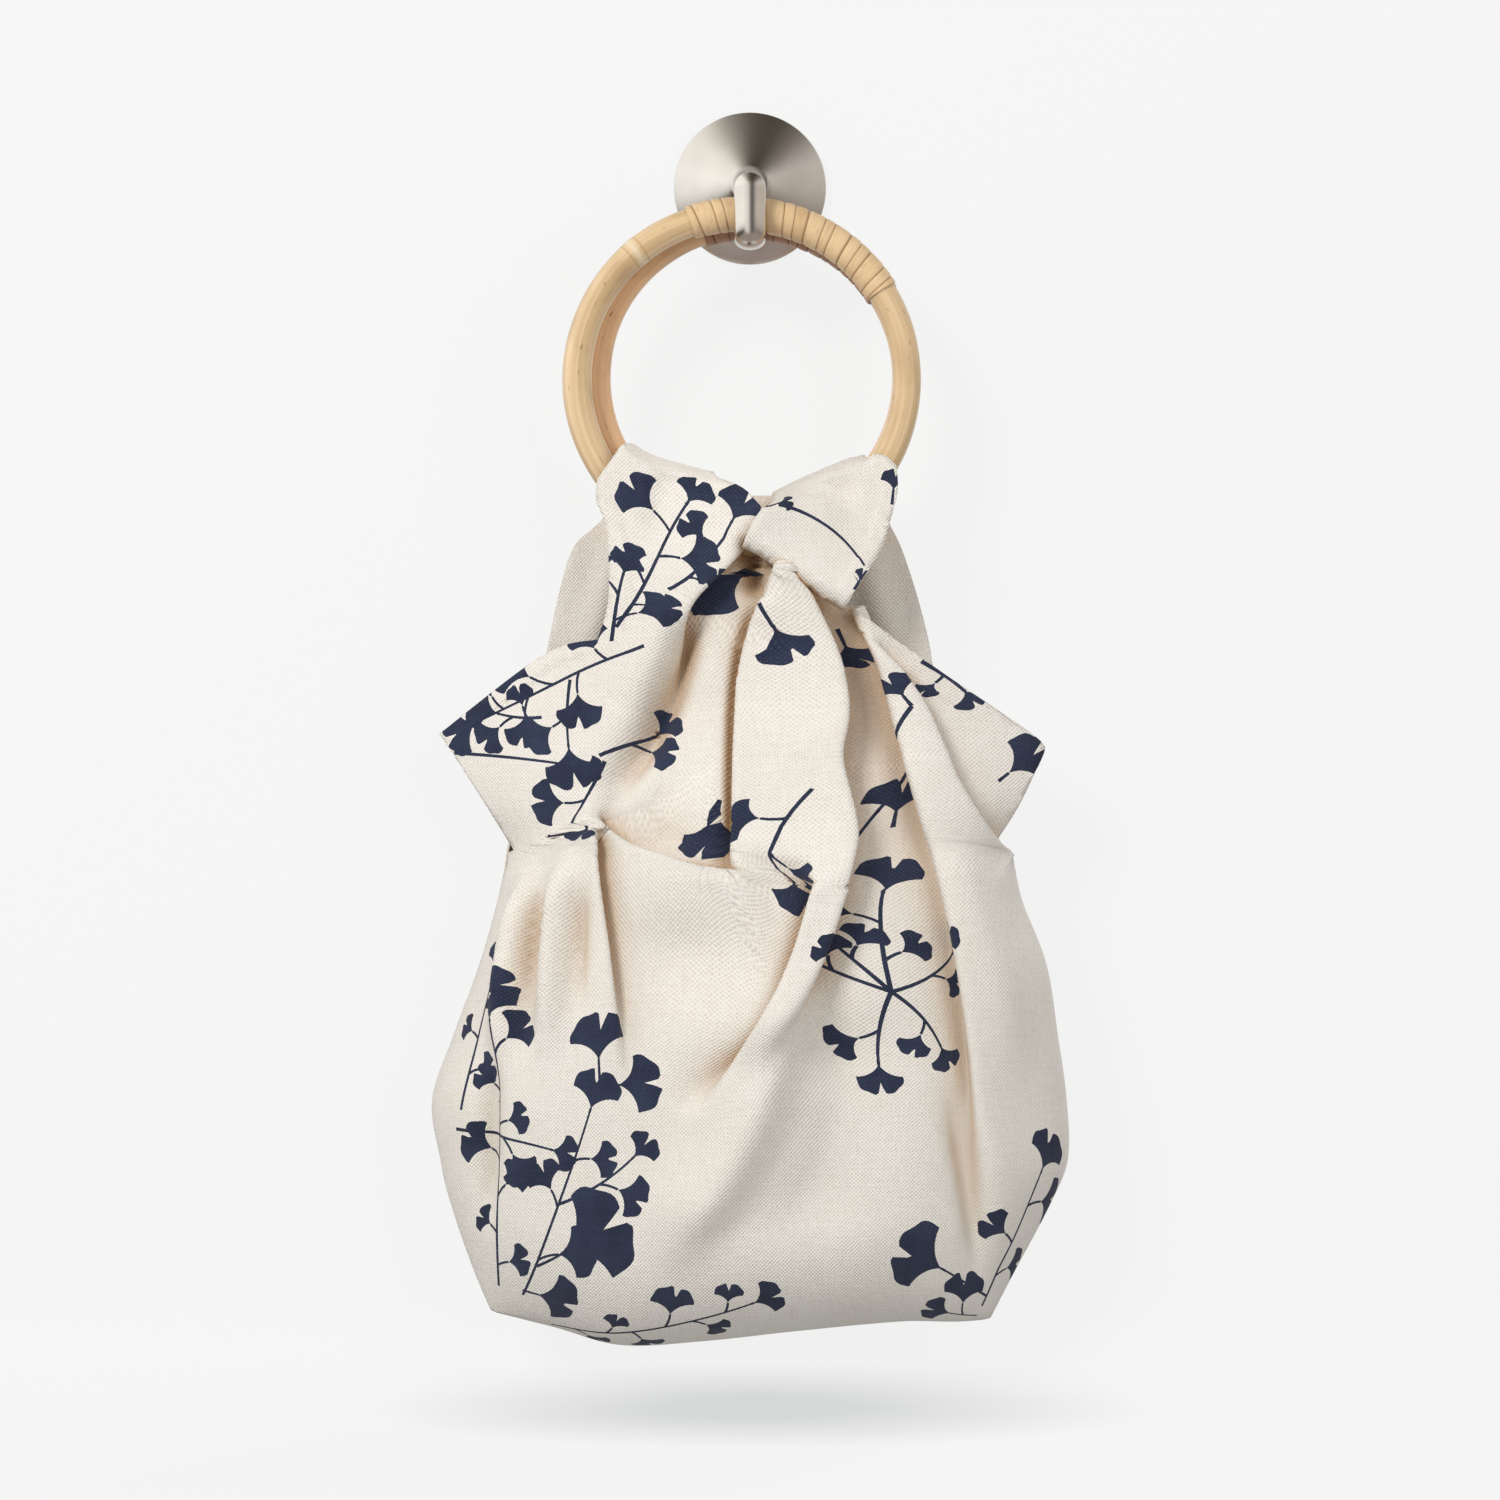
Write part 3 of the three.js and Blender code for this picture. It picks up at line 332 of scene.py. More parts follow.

# %% [markdown]
# A soft fold only rises or sinks: a roll of the belly, the valley beside the wing, the gathers on
# the back. It could be pulled by a cloth simulation, but the knot pulls each fold of this bag to a
# place of its own, so the main ones are placed one by one, each with its own two widths. No two are
# alike, which is what keeps cloth from looking moulded.

# %% The soft folds
SOFT_COLUMNS = ["name", "height", "left_width", "right_width", "open", "close", "line"]
SOFT_FOLDS = table(
    SOFT_COLUMNS,
    [
        ["wing valley", -14, 7, 6, 20, 30,
         [[-26, -184], [-30, -205], [-43, -237], [-57, -258], [-64, -272]]],
        ["under the knot", -11, 5, 4, 0, 10, [[1, -160], [3, -168], [3, -182]]],
        ["first pleat slope", -5, 2, 15, 20, 20,
         [[5, -180], [-3, -197], [-7, -222], [-8, -248], [-9, -292]]],
        ["tie crease", -3, 5, 7, 8, 20, [[-33, -122], [-38, -140], [-41, -165]]],
        ["first left roll", 12, 6, 7, 30, 50, [[-72, -282], [-80, -310], [-84, -345], [-86, -385]]],
        ["second left roll", 11, 6, 7, 30, 60,
         [[-92, -290], [-98, -320], [-104, -355], [-107, -400]]],
        ["low left crease", -7, 7, 6, 30, 30,
         [[-105, -360], [-110, -392], [-111, -417], [-112, -452]]],
        ["big roll crest", 13, 18, 10, 40, 40,
         [[27, -330], [19, -350], [11, -375], [0, -405], [-16, -434], [-43, -464]]],
        ["below the roll", -7, 14, 24, 30, 50,
         [[41, -345], [42, -375], [38, -404], [26, -434], [0, -464]]],
        ["inner panel", -8, 14, 18, 24, 10, [[-22, -204], [-32, -235], [-36, -262], [-38, -290]]],
        ["skirt valley", -6, 4, 5, 20, 50, [[-84, -296], [-90, -330], [-94, -372]]],
        ["inner skirt valley", -5, 4, 4, 20, 40, [[-68, -296], [-71, -330], [-72, -365]]],
        ["cowl hollow", -6, 18, 22, 24, 40, [[-30, -306], [-32, -335], [-36, -370]]],
        ["right belly", 6, 14, 16, 40, 60, [[74, -262], [88, -300], [103, -345], [112, -400]]],
        ["low right crease", -6, 6, 8, 40, 30, [[84, -380], [93, -425], [98, -470]]],
    ],
)
BACK_FOLDS = table(
    SOFT_COLUMNS,
    [
        ["outer left gather", 5, 7, 9, 0, 60,
         [[-48, -136], [-66, -190], [-84, -250], [-100, -330]]],
        ["left gather", 7, 8, 8, 0, 60, [[-28, -136], [-42, -190], [-56, -260], [-66, -340]]],
        ["middle gather", -4, 6, 6, 0, 60, [[-10, -136], [-14, -200], [-22, -280], [-26, -340]]],
        ["right gather", 7, 9, 7, 0, 60, [[18, -136], [30, -200], [46, -280], [56, -360]]],
        ["outer right gather", 5, 8, 7, 0, 60, [[42, -136], [58, -190], [74, -250], [92, -330]]],
        ["low cross fold", 6, 9, 14, 40, 40, [[-96, -330], [-36, -384], [36, -404], [98, -376]]],
        ["low left fold", 5, 8, 12, 30, 30, [[-40, -398], [-72, -428], [-92, -466]]],
        ["low right fold", 4, 10, 8, 30, 30, [[20, -416], [60, -440], [84, -472]]],
    ],
)
TIE_FOLDS = table(
    SOFT_COLUMNS,
    [
        ["knot lobe", 17, 13, 23, 0, 0, [[-2, -150], [16, -162], [30, -171], [46, -180]]],
        ["lobe roll", -3, 3, 3, 0, 0,
         [[-5, -158.5], [4, -162], [15, -169.5], [21, -174.5], [34, -182], [42, -187]]],
        ["knot ridge", 3, 9, 3, 0, 14, [[3, -142], [17, -138.5], [29, -140], [44, -146]]],
        ["tie hollow", -2.5, 7, 5, 4, 8, [[14, -133], [30, -131], [48, -136]]],
    ],
)
for place, rows in (("front", SOFT_FOLDS), ("back", BACK_FOLDS), ("tie", TIE_FOLDS)):
    print("soft folds on the", place + ":", len(rows))

# %% [markdown]
# A fold's line is drawn as a smooth curve through its few points, in even steps. Every place of the
# cloth is then measured from it: how far away it is, on which side, and how far along the line it
# lies. The strength of a fold follows from how far along that is.

# %% Draw a fold's line and measure from it
LINE_STEP = 2.5
CURVE_PARTS = 40
ON_LINE = 0.01


def draw_line(points, step=LINE_STEP):
    corners = np.asarray(points, float)
    last = len(corners) - 1
    fine = np.linspace(0, last, CURVE_PARTS * last + 1)
    index = np.minimum(fine.astype(int), last - 1)
    t = (fine - index)[:, None]
    before, after = corners[np.maximum(index - 1, 0)], corners[np.minimum(index + 2, last)]
    start, end = corners[index], corners[index + 1]
    leave, arrive = (end - before) / 2, (after - start) / 2
    curve = (2 * t**3 - 3 * t**2 + 1) * start + (t**3 - 2 * t**2 + t) * leave
    curve += (3 * t**2 - 2 * t**3) * end + (t**3 - t**2) * arrive
    travelled = walked(curve)
    even = np.linspace(0, travelled[-1], max(2, round(travelled[-1] / step)) + 1)
    return np.stack([np.interp(even, travelled, curve[:, axis]) for axis in (0, 1)], 1)


def walked(line):
    return np.r_[0, np.cumsum(np.hypot(*np.diff(line, axis=0).T))]


def nearest_on(line, places):
    start, run = line[:-1], np.diff(line, axis=0)
    length = np.hypot(*run.T)
    direction = run / length[:, None]
    off = places[:, None, :] - start[None]
    share = np.clip((off * direction).sum(2), 0, length)
    off = off - direction * share[..., None]
    distance = np.hypot(off[..., 0], off[..., 1])
    best = distance.argmin(1)
    every = np.arange(len(places))
    normal = np.stack([-direction[best, 1], direction[best, 0]], 1)
    off, distance = off[every, best], distance[every, best]
    signed = np.where((off * normal).sum(1) < 0, -distance, distance)
    apart = distance > ON_LINE
    away = np.where(apart[:, None], off / np.where(apart, signed, 1)[:, None], normal)
    along = np.r_[0, np.cumsum(length)][best] + share[every, best]
    return {"signed": signed, "along": along, "length": length.sum(), "way": away}


def strength(fold, near):
    start = smooth(near["along"] / fold["open"]) if fold["open"] else 1.0
    end = smooth((near["length"] - near["along"]) / fold["close"]) if fold["close"] else 1.0
    return start * end * np.ones_like(near["along"])


print("a fold's line is walked in steps of", LINE_STEP, "mm")

# %% [markdown]
# Gathering moves the flat cloth on both sides towards the lap's line, by the same curve as a
# hyperbolic tangent: steep in the middle, where the cloth turns over twice, and level outside. The
# shift fades out over LAP_REACH, so the rest of the panel isn't dragged along. To open a lap again,
# the place that lands at a given point is found by halving an interval.

# %% Fold a lap and open it again
LAP_SHARE = 0.533
LAP_REACH = 60.0
HALVINGS = 40


def half_gather(fold):
    return fold["lap"] / LAP_SHARE / 2


def gather(fold, power, signed):
    half = half_gather(fold)
    fade = 1 - smooth((np.abs(signed) - 2 * half) / (LAP_REACH - 2 * half))
    return 2 * half * power * np.tanh(signed / half) * fade


def lap_turn(fold, power):
    return half_gather(fold) * np.arccosh(np.sqrt(np.maximum(2 * power, 1)))


def lap_edge(fold, power):
    turn_place = lap_turn(fold, power)
    return gather(fold, power, turn_place) - turn_place


def fold_lap(fold, places):
    near = nearest_on(fold["axis"], places)
    signed = fold["under"] * near["signed"]
    power = strength(fold, near)
    shift = gather(fold, power, signed) * fold["under"]
    upper = (1 - np.tanh(signed / half_gather(fold))) / 2
    spread = np.exp(-((signed / fold["spread"]) ** 2))
    roll = np.where(signed < 0, spread, 1)
    rise = fold["height"] * upper * roll - fold["tuck"] * spread * (1 - upper)
    raised = (near["along"] > 0) | (fold["open"] > 0)
    return places - near["way"] * shift[:, None], np.sqrt(power) * rise * raised


def unfold_lap(fold, places):
    near = nearest_on(fold["axis"], places)
    seen = fold["under"] * near["signed"]
    power = strength(fold, near)
    turn_place = lap_turn(fold, power)
    on_top = seen < lap_edge(fold, power)
    low = np.where(on_top, seen - 4 * half_gather(fold), turn_place)
    high = np.where(on_top, -turn_place, seen + 4 * half_gather(fold))
    for _ in range(HALVINGS):
        centre = (low + high) / 2
        short = centre - gather(fold, power, centre) < seen
        low, high = np.where(short, centre, low), np.where(short, high, centre)
    shift = fold["under"] * (low - seen)
    return places + near["way"] * shift[:, None]


deepest = max(half_gather(lap) for lap in LAPS)
print("the deepest lap takes up", round(4 * deepest, 1), "mm of cloth")

# %% [markdown]
# The laps are set one after another, in the order of their table. A later lap crosses cloth that
# earlier ones have gathered, so its line is opened through all of them first. The row gives the
# edge that is seen; the axis of the gather lies a little beside it, by the lap's own depth there.

# %% Set every lap in the cloth
EVEN_ROUNDS = 12


def even_out(line):
    for _ in range(EVEN_ROUNDS):
        line = np.r_[line[:1], (line[:-2] + 2 * line[1:-1] + line[2:]) / 4, line[-1:]]
    return line


def sideways(line):
    run = np.r_[line[1:2] - line[:1], line[2:] - line[:-2], line[-1:] - line[-2:-1]]
    run = run / np.maximum(np.hypot(*run.T), 1e-9)[:, None]
    return np.stack([run[:, 1], -run[:, 0]], 1)


laps = []
for lap in LAPS:
    edge = draw_line(unroll(lap["line"]))
    for before in laps:
        edge = unfold_lap(before, edge)
    edge = even_out(edge)
    travel = {"along": np.arange(len(edge)) * LINE_STEP, "length": (len(edge) - 1) * LINE_STEP}
    inset = lap["under"] * lap_edge(lap, strength(lap, travel))
    laps.append({**lap, "axis": edge + sideways(edge) * inset[:, None]})
print("first axis starts at", laps[0]["axis"][0].round(1).tolist(), "mm in the flat cloth")

# %% [markdown]
# Draping puts it all together: places of the flat cloth go through the laps in reverse, then onto
# the shell, and are lifted off it along its normal by the height of the folds.

# %% Drape each panel


def set_folds(rows, shape=np.asarray):
    return [{**fold, "axis": draw_line(shape(fold["line"]))} for fold in rows]


soft_folds = set_folds(SOFT_FOLDS, unroll)
back_folds, tie_folds = set_folds(BACK_FOLDS), set_folds(TIE_FOLDS)
TIE_DEPTH = -62.5
NORMAL_STEP = 0.5


def flatten(seen):
    places = unroll(seen)
    for lap in laps:
        places = unfold_lap(lap, places)
    return places


def lift_of(folds, places):
    lift = np.zeros(len(places))
    for fold in folds:
        near = nearest_on(fold["axis"], places)
        width = np.where(near["signed"] < 0, fold["left_width"], fold["right_width"])
        lift += fold["height"] * np.exp(-((near["signed"] / width) ** 2)) * strength(fold, near)
    return lift


def shell_normal(shell, places):
    across, along = np.array([NORMAL_STEP, 0]), np.array([0, NORMAL_STEP])
    normal = np.cross(
        shell(places + across) - shell(places - across),
        shell(places + along) - shell(places - along),
    )
    length = np.linalg.norm(normal, axis=1)[:, None]
    return np.where(length > 1e-9, normal / np.maximum(length, 1e-9), [0.0, -1.0, 0.0])


def raise_off(shell, places, rise):
    return as_seen(shell(places) + shell_normal(shell, places) * rise[:, None])


def drape_front(places):
    rise = np.zeros(len(places))
    for lap in reversed(laps):
        places, raised = fold_lap(lap, places)
        rise += raised
    return raise_off(front_shell, places, rise + lift_of(soft_folds, places))


def drape_back(places):
    return raise_off(back_shell, places, lift_of(back_folds, places))


def drape_tie(places):
    depth = TIE_DEPTH - lift_of(tie_folds, places)
    points = np.stack([places[:, 0], depth, places[:, 1]], 1)
    return as_seen(over_rings(points, right_turn_line))


lip = drape_front(flatten([[-28, -293]]))
print("the middle of the cowl's lip hangs at", lip.round(1).tolist(), "mm")

# %% [markdown]
# Each panel is cut by its edge lines, one after another round it. Edges that cross a fold are
# opened with it. The two straps are straight cloth above the ties, and their ends hang hidden
# behind the rings.

# %% The panels' edge lines
FRONT_EDGES = {
    "right ear side": [[104, -286], [115, -265], [124, -245]],
    "right ear hem": [[124, -245], [120, -238], [76, -208], [42, -183]],
    "under the knot": [[42, -183], [24, -171], [13, -160], [6, -143]],
    "left tie side": [[-64.5, -129], [-65, -138], [-60.5, -151], [-59.5, -180], [-64, -197]],
    "left ear hem": [[-64, -197], [-87, -203.5], [-131, -237]],
    "left ear side": [[-131, -237], [-114, -263], [-99.5, -286]],
}
TIE_EDGES = {
    "bottom": [[-3, -157], [4, -160.5], [15, -168], [21, -173], [34, -180.5], [40, -184]],
    "side": [[40, -184], [47, -172], [55, -160], [59.5, -146], [62.5, -134], [62, -123.5]],
    "shoulder": [[62, -123.5], [57, -119], [50, -118.5]],
    "strap": [[45, -84.5], [45, -50.5], [12, -50.5], [12, -84.5]],
    "crossing": [[9, -137], [5, -141.5], [0.5, -148], [-3, -157]],
}
STRAP_CLOTH, STRAP_SLANT = 78.0, 8.0
STRAP_STEPS = [[20, 40], [10, 14]]
SIDE_NOTCH = -288.0
RIGHT_CORNER, LEFT_CORNER = (106.0, -474.0), (-113.5, -469.0)
BACK_TOP, BACK_LOW = -136.0, -466.0
BACK_BOTTOM = (-114.0, 105.0)
EDGE_STEP = 2.4
LEAST_STEP = 0.4
SIDE_POINTS, BOTTOM_POINTS, BACK_POINTS = 80, 90, 120


def even_steps(line):
    line = np.asarray(line, float)
    travelled = walked(line)
    even = np.linspace(0, travelled[-1], max(1, round(travelled[-1] / EDGE_STEP)) + 1)
    return np.stack([np.interp(even, travelled, line[:, axis]) for axis in (0, 1)], 1)


def closed_outline(sides):
    ring = np.concatenate([even_steps(side) for side in sides])
    ring = np.concatenate([even_steps(ring[[i - 1, i]])[1:] for i in range(len(ring))])
    apart = np.hypot(*(ring - np.roll(ring, 1, 0)).T) > LEAST_STEP
    return ring[apart]


print("edge lines:", len(FRONT_EDGES), "on the front and", len(TIE_EDGES), "on the tie")

# %% [markdown]
# Below the wings the cut edge follows the section tables, and at the bottom its own curve, so only
# the ends of these sides are given. The whole edge is then walked in even steps, because each of
# its points later carries one face of the rim.

# %% Cut the panels
FRONT_ROUND = [
    "right side", "right ear side", "right ear hem", "under the knot", "strap",
    "left tie side", "left ear hem", "left ear side", "left side", "bottom",
]


def front_sides():
    sides = {name: flatten(draw_line(line)) for name, line in FRONT_EDGES.items()}
    ends = {"right": (RIGHT_CORNER[1], SIDE_NOTCH), "left": (SIDE_NOTCH, LEFT_CORNER[1])}
    for side, (first, last) in ends.items():
        heights = np.linspace(first, last, SIDE_POINTS)
        sides[side + " side"] = flatten(np.stack([front_curves[side](heights), heights], 1))
    xs = np.linspace(LEFT_CORNER[0], RIGHT_CORNER[0], BOTTOM_POINTS)
    sides["bottom"] = flatten(np.stack([xs, bottom_at(xs)], 1))
    knot = flatten([[3, -139], [-15, -126.5]])
    tie_top, strap_top = sides["left tie side"][0], knot[0, 1] + STRAP_CLOTH
    slanted = [tie_top[0] + STRAP_STEPS[0][0], strap_top - STRAP_SLANT]
    steps = [tie_top + step for step in STRAP_STEPS]
    sides["strap"] = np.array([*knot, [knot[1, 0], strap_top], slanted, *steps])
    return {name: sides[name] for name in FRONT_ROUND}


def back_sides():
    heights = np.linspace(BACK_TOP, BACK_LOW, BACK_POINTS)
    section = section_at(heights, back_curves)
    half = section["half_width"] * flat_share(np.pi / 2, section["depth_ratio"])
    xs = np.linspace(*BACK_BOTTOM, BOTTOM_POINTS)
    low = section_at(bottom_at(xs), back_curves)
    turn = np.arcsin(np.clip((xs - low["centre"]) / low["half_width"], -1, 1))
    across = low["centre"] + low["half_width"] * flat_share(turn, low["depth_ratio"])
    return {
        "left side": np.stack([section["centre"] - half, heights], 1),
        "bottom": np.stack([across, bottom_at(xs) + BOTTOM_ROUND * (1 - np.pi / 2)], 1),
        "right side": np.stack([section["centre"] + half, heights], 1)[::-1],
    }


def tie_sides():
    return {name: np.array(line, float) if name == "strap" else draw_line(line)
            for name, line in TIE_EDGES.items()}


edges = {"front_panel": front_sides(), "back_panel": back_sides(), "right_tie": tie_sides()}
for name, sides in edges.items():
    print(name, "has", len(closed_outline(sides.values())), "points round its cut edge")

# %% [markdown]
# The print is a plain botanical one: sprays of notched fan-shaped leaves on thin stems. It could be
# an image, but ink drawn as shapes stays sharp however close the camera comes. A leaf is a formula:
# from its stalk the edge opens like a fan, falls off towards its sides, waves a little, and each
# cleft pulls it in.

# %% Draw a leaf and a stem
FAN_ANGLE = 57.0
FAN_FALL, FAN_FALL_POWER = 0.24, 3.5
WAVE, WAVES = 0.022, 13
CLEFT_WIDTH = 0.07
MIDDLE_CLEFT_PLACE, MIDDLE_CLEFT = 0.12, 0.42
SIDE_CLEFTS = [(-0.52, 0.10), (0.56, 0.12)]
SIDE_REACH, SIDE_START, SIDE_OPENING, SIDE_CURVE = 0.88, 0.42, 0.58, 1.1
LEAF_POINTS, RISE_POINTS = 27, 8
STEM_WIDTH = 1.5
STEM_STEP = 3


def fan_leaf(size, clefts):
    angle = np.linspace(-1, 1, LEAF_POINTS)
    reach = 1 - FAN_FALL * np.abs(angle) ** FAN_FALL_POWER + WAVE * np.sin(angle * WAVES + size)
    deep = [(MIDDLE_CLEFT_PLACE * math.sin(size), MIDDLE_CLEFT)]
    deep += SIDE_CLEFTS if clefts > 1 else []
    for cleft, depth in deep:
        reach *= 1 - depth * np.exp(-(((angle - cleft) / CLEFT_WIDTH) ** 2))
    rise = np.linspace(0.0, SIDE_REACH, RISE_POINTS)
    side = SIDE_START + SIDE_OPENING * rise**SIDE_CURVE
    angle = np.r_[-side, angle, side[::-1]]
    reach = np.r_[rise * reach[0], reach, rise[::-1] * reach[-1]]
    fan = np.radians(FAN_ANGLE) * angle
    return size * np.stack([reach * np.sin(fan), reach * np.cos(fan)], 1)


def turned(shape, heading, place):
    turn = np.radians(heading - 90)
    spin = np.array([[np.cos(turn), -np.sin(turn)], [np.sin(turn), np.cos(turn)]])
    return shape @ spin.T + place


def stem_line(start, heading, reach, curl):
    steps = max(3, int(reach / STEM_STEP))
    bearing = np.radians(heading + curl * np.linspace(0, 1, steps))
    travel = np.stack([np.cos(bearing), np.sin(bearing)], 1) * reach / steps
    return np.concatenate([[start], start + np.cumsum(travel, 0)]), np.degrees(bearing)


def ribbon(line, wide, narrow):
    half = np.linspace(wide, narrow, len(line))[:, None] / 2
    beside = sideways(line) * half
    return np.concatenate([line + beside, (line - beside)[::-1]])


print("a leaf has", len(fan_leaf(15, 1)), "points round it")

# %% [markdown]
# A spray is a stem with leaves on short stalks left and right of it. The table sets each spray
# where it should be seen, and the leaves are drawn in the flat cloth there, so the folds carry and
# hide them as they do on real cloth. The layout is this lesson's own. Their sizes and angles vary
# by a sine of their place, so that the same script always draws the same print.

# %% The leaf sprays
SPRAY_COLUMNS = ["x", "z", "heading", "reach", "curl", "leaves", "size", "clefts"]
SPRAYS = {
    "front_panel": table(SPRAY_COLUMNS, [
        [-56, -192, 66, 66, -10, 5, 13, 1],
        [-34, -176, 36, 42, 24, 3, 12, 1],
        [-58, -198, 92, 34, -22, 3, 12, 1],
        [5, -165, 206, 9, 0, 1, 16, 1],
        [-44, -200, 208, 76, -4, 6, 15, 1],
        [-76, -214, 262, 30, 14, 2, 15, 1],
        [-88, -230, 184, 22, -20, 3, 12, 1],
        [-125, -245, -3, 60, -6, 1, 9, 1],
        [-64, -246, 28, 26, 10, 2, 10, 1],
        [-62, -248, 246, 38, -10, 2, 15, 1],
        [-16, -266, 258, 6, 0, 1, 14, 1],
        [26, -262, 236, 38, 24, 3, 12, 1],
        [4, -182, -66, 12, 0, 1, 11, 1],
        [38, -192, -70, 8, 0, 1, 13, 1],
        [66, -228, 244, 88, 12, 0, 9, 1],
        [66, -228, 118, 6, 0, 1, 15, 1],
        [60, -346, 96, 44, -14, 3, 13, 1],
        [60, -346, 24, 34, 30, 2, 12, 1],
        [60, -346, 128, 30, -8, 2, 12, 1],
        [60, -346, -42, 30, -20, 2, 12, 1],
        [60, -346, -110, 32, 22, 2, 14, 1],
        [60, -346, 158, 34, -20, 2, 12, 1],
        [62, -276, 92, 8, 0, 1, 15, 1],
        [-106, -470, 84, 118, 8, 8, 12, 1],
        [-96, -474, 62, 92, 10, 4, 15, 1],
        [-81, -436, 18, 42, 26, 2, 15, 1],
        [-63, -386, 98, 12, 0, 1, 25, 1],
        [-63, -386, 4, 9, 0, 1, 24, 1],
        [-124, -404, -6, 54, -8, 2, 12, 1],
        [-122, -396, 76, 62, 4, 4, 11, 1],
        [-84, -486, 4, 96, 20, 7, 12, 1],
        [-90, -462, 22, 17, 6, 1, 28, 1],
        [-96, -472, -12, 10, 0, 1, 17, 1],
        [100, -474, 146, 34, 8, 1, 27, 1],
        [98, -478, 74, 72, -10, 4, 15, 1],
        [96, -482, 172, 20, -10, 2, 15, 1],
        [105, -257, 42, 4, 0, 1, 13, 1],
        [72, -206, -44, 22, -10, 2, 8, 1],
    ]),
    "right_tie": table(SPRAY_COLUMNS, [
        [12, -140, -14, 46, -44, 0, 9, 1],
        [60, -140, 84, 8, 0, 1, 11, 1],
        [6, -140, 6, 9, 0, 1, 7, 1],
        [44, -176, 60, 5, 0, 1, 7, 1],
    ]),
    "back_panel": table(SPRAY_COLUMNS, [
        [-80, -186, 108, 34, 12, 3, 13, 2],
        [62, -196, 74, 30, -12, 2, 14, 1],
        [-30, -250, 200, 76, -20, 7, 16, 2],
        [44, -290, -40, 70, 24, 6, 16, 1],
        [-84, -400, 70, 80, -26, 7, 17, 2],
        [20, -440, 160, 70, -18, 6, 16, 1],
        [92, -430, 100, 60, 16, 5, 15, 2],
        [6, -350, 120, 50, 30, 4, 14, 1],
    ]),
}
LEAST_LEAF, LEAF_RANGE = 0.78, 0.42
LEAF_LEAN, LEAN_RANGE = 48, 14
SIDE_STALK, END_STALK, STALK_CURL = 0.6, 0.1, 16
STEM_TIP, STALK_FOOT, STALK_TIP = 0.6, 0.8, 0.7


def spray_shapes(row, start):
    line, bearing = stem_line(start, row["heading"], row["reach"], row["curl"])
    shapes = [ribbon(line, STEM_WIDTH, STEM_WIDTH * STEM_TIP)]
    for number in range(row["leaves"]):
        share = (number + 1) / row["leaves"]
        at = min(int(share * (len(line) - 1)), len(bearing) - 1)
        side = 0 if share == 1 else (1 if number % 2 else -1)
        size = row["size"] * (LEAST_LEAF + LEAF_RANGE * math.sin(number * 2.3 + row["x"]) ** 2)
        lean = side * (LEAF_LEAN + LEAN_RANGE * math.sin(number * 1.7 + row["z"]))
        length = size * (SIDE_STALK if side else END_STALK)
        stalk, turns = stem_line(line[at], bearing[at] + lean, length, side * STALK_CURL)
        shapes.append(ribbon(stalk, STEM_WIDTH * STALK_FOOT, STEM_WIDTH * STALK_TIP))
        shapes.append(turned(fan_leaf(size, row["clefts"]), turns[-1], stalk[-1]))
    return shapes


def as_given(seen):
    return np.asarray(seen, float)


place_on = {"front_panel": flatten, "right_tie": as_given, "back_panel": as_given}
inks = {panel: [] for panel in SPRAYS}
for panel, rows in SPRAYS.items():
    for row in rows:
        inks[panel] += spray_shapes(row, place_on[panel]([[row["x"], row["z"]]])[0])
print("ink shapes:", {panel: len(shapes) for panel, shapes in inks.items()})

# %% [markdown]
# Now the cloth is meshed flat. Points go over the whole panel in a pattern of triangles, closer
# together beside the laps, where the cloth turns most. None comes so near to a drawn line that
# it would make a sliver. Beside a hem two lines are drawn, for the foot and the top of its step.

# %% Points over a flat panel
FINE_STEP, WIDE_STEP = 1.7, 3.4
FINE_REACH = 1.3
CLEAR = 0.8
CELL = 2
HEM_WIDTH, HEM_RISE, HEM_STEP = 6.2, 0.6, 0.9
HEM_ENDS = 3


def is_inside(places, outline):
    x, z = places[:, 0, None], places[:, 1, None]
    ax, az = outline.T
    bx, bz = np.roll(outline, -1, 0).T
    level = np.where(bz == az, 1e-9, bz - az)
    crossing = ((az > z) != (bz > z)) & (x < ax + (bx - ax) * (z - az) / level)
    return crossing.sum(1) % 2 == 1


def hex_points(outline, step):
    low, high = outline.min(0), outline.max(0)
    rows = np.arange(low[1], high[1], step * math.sqrt(3) / 2)
    columns = np.arange(low[0], high[0], step)
    x, z = np.meshgrid(columns, rows)
    x = x + (np.arange(len(rows)) % 2)[:, None] * step / 2
    return np.stack([x.ravel(), z.ravel()], 1)


def near_any(places, lines, reach):
    close = np.zeros(len(places), bool)
    for line in lines:
        close |= np.abs(nearest_on(line, places)["signed"]) < reach
    return close


def grid_points(outline, folds):
    wide = hex_points(outline, WIDE_STEP)
    wide = wide[is_inside(wide, outline)]
    if not folds:
        return wide
    lines = [fold["axis"][::3] for fold in folds]
    reach = max(FINE_REACH * fold["lap"] / LAP_SHARE for fold in folds)
    fine = hex_points(outline, FINE_STEP)
    fine = fine[is_inside(fine, outline)]
    return np.concatenate([wide[~near_any(wide, lines, reach)], fine[near_any(fine, lines, reach)]])


def clear_of(grid, drawn):
    cells = {}
    for x, z in drawn:
        cells.setdefault((int(x // CELL), int(z // CELL)), []).append((x, z))

    def is_clear(x, z):
        column, row = int(x // CELL), int(z // CELL)
        around = [(column + i, row + j) for i in (-1, 0, 1) for j in (-1, 0, 1)]
        close = [place for key in around for place in cells.get(key, ())]
        return all(math.hypot(x - a, z - b) > CLEAR for a, b in close)

    return [(x, z) for x, z in grid if is_clear(x, z)]


def hem_lines(hem, outline):
    lines = []
    for inset in (HEM_WIDTH, HEM_WIDTH + HEM_STEP):
        for side in (inset, -inset):
            line = (hem + sideways(hem) * side)[HEM_ENDS:-HEM_ENDS]
            if len(line) > 2 and is_inside(line, outline).all():
                lines.append(line)
    return lines


tie_outline = closed_outline(edges["right_tie"].values())
print("the tie takes", len(grid_points(tie_outline, ())), "points inside its edge")

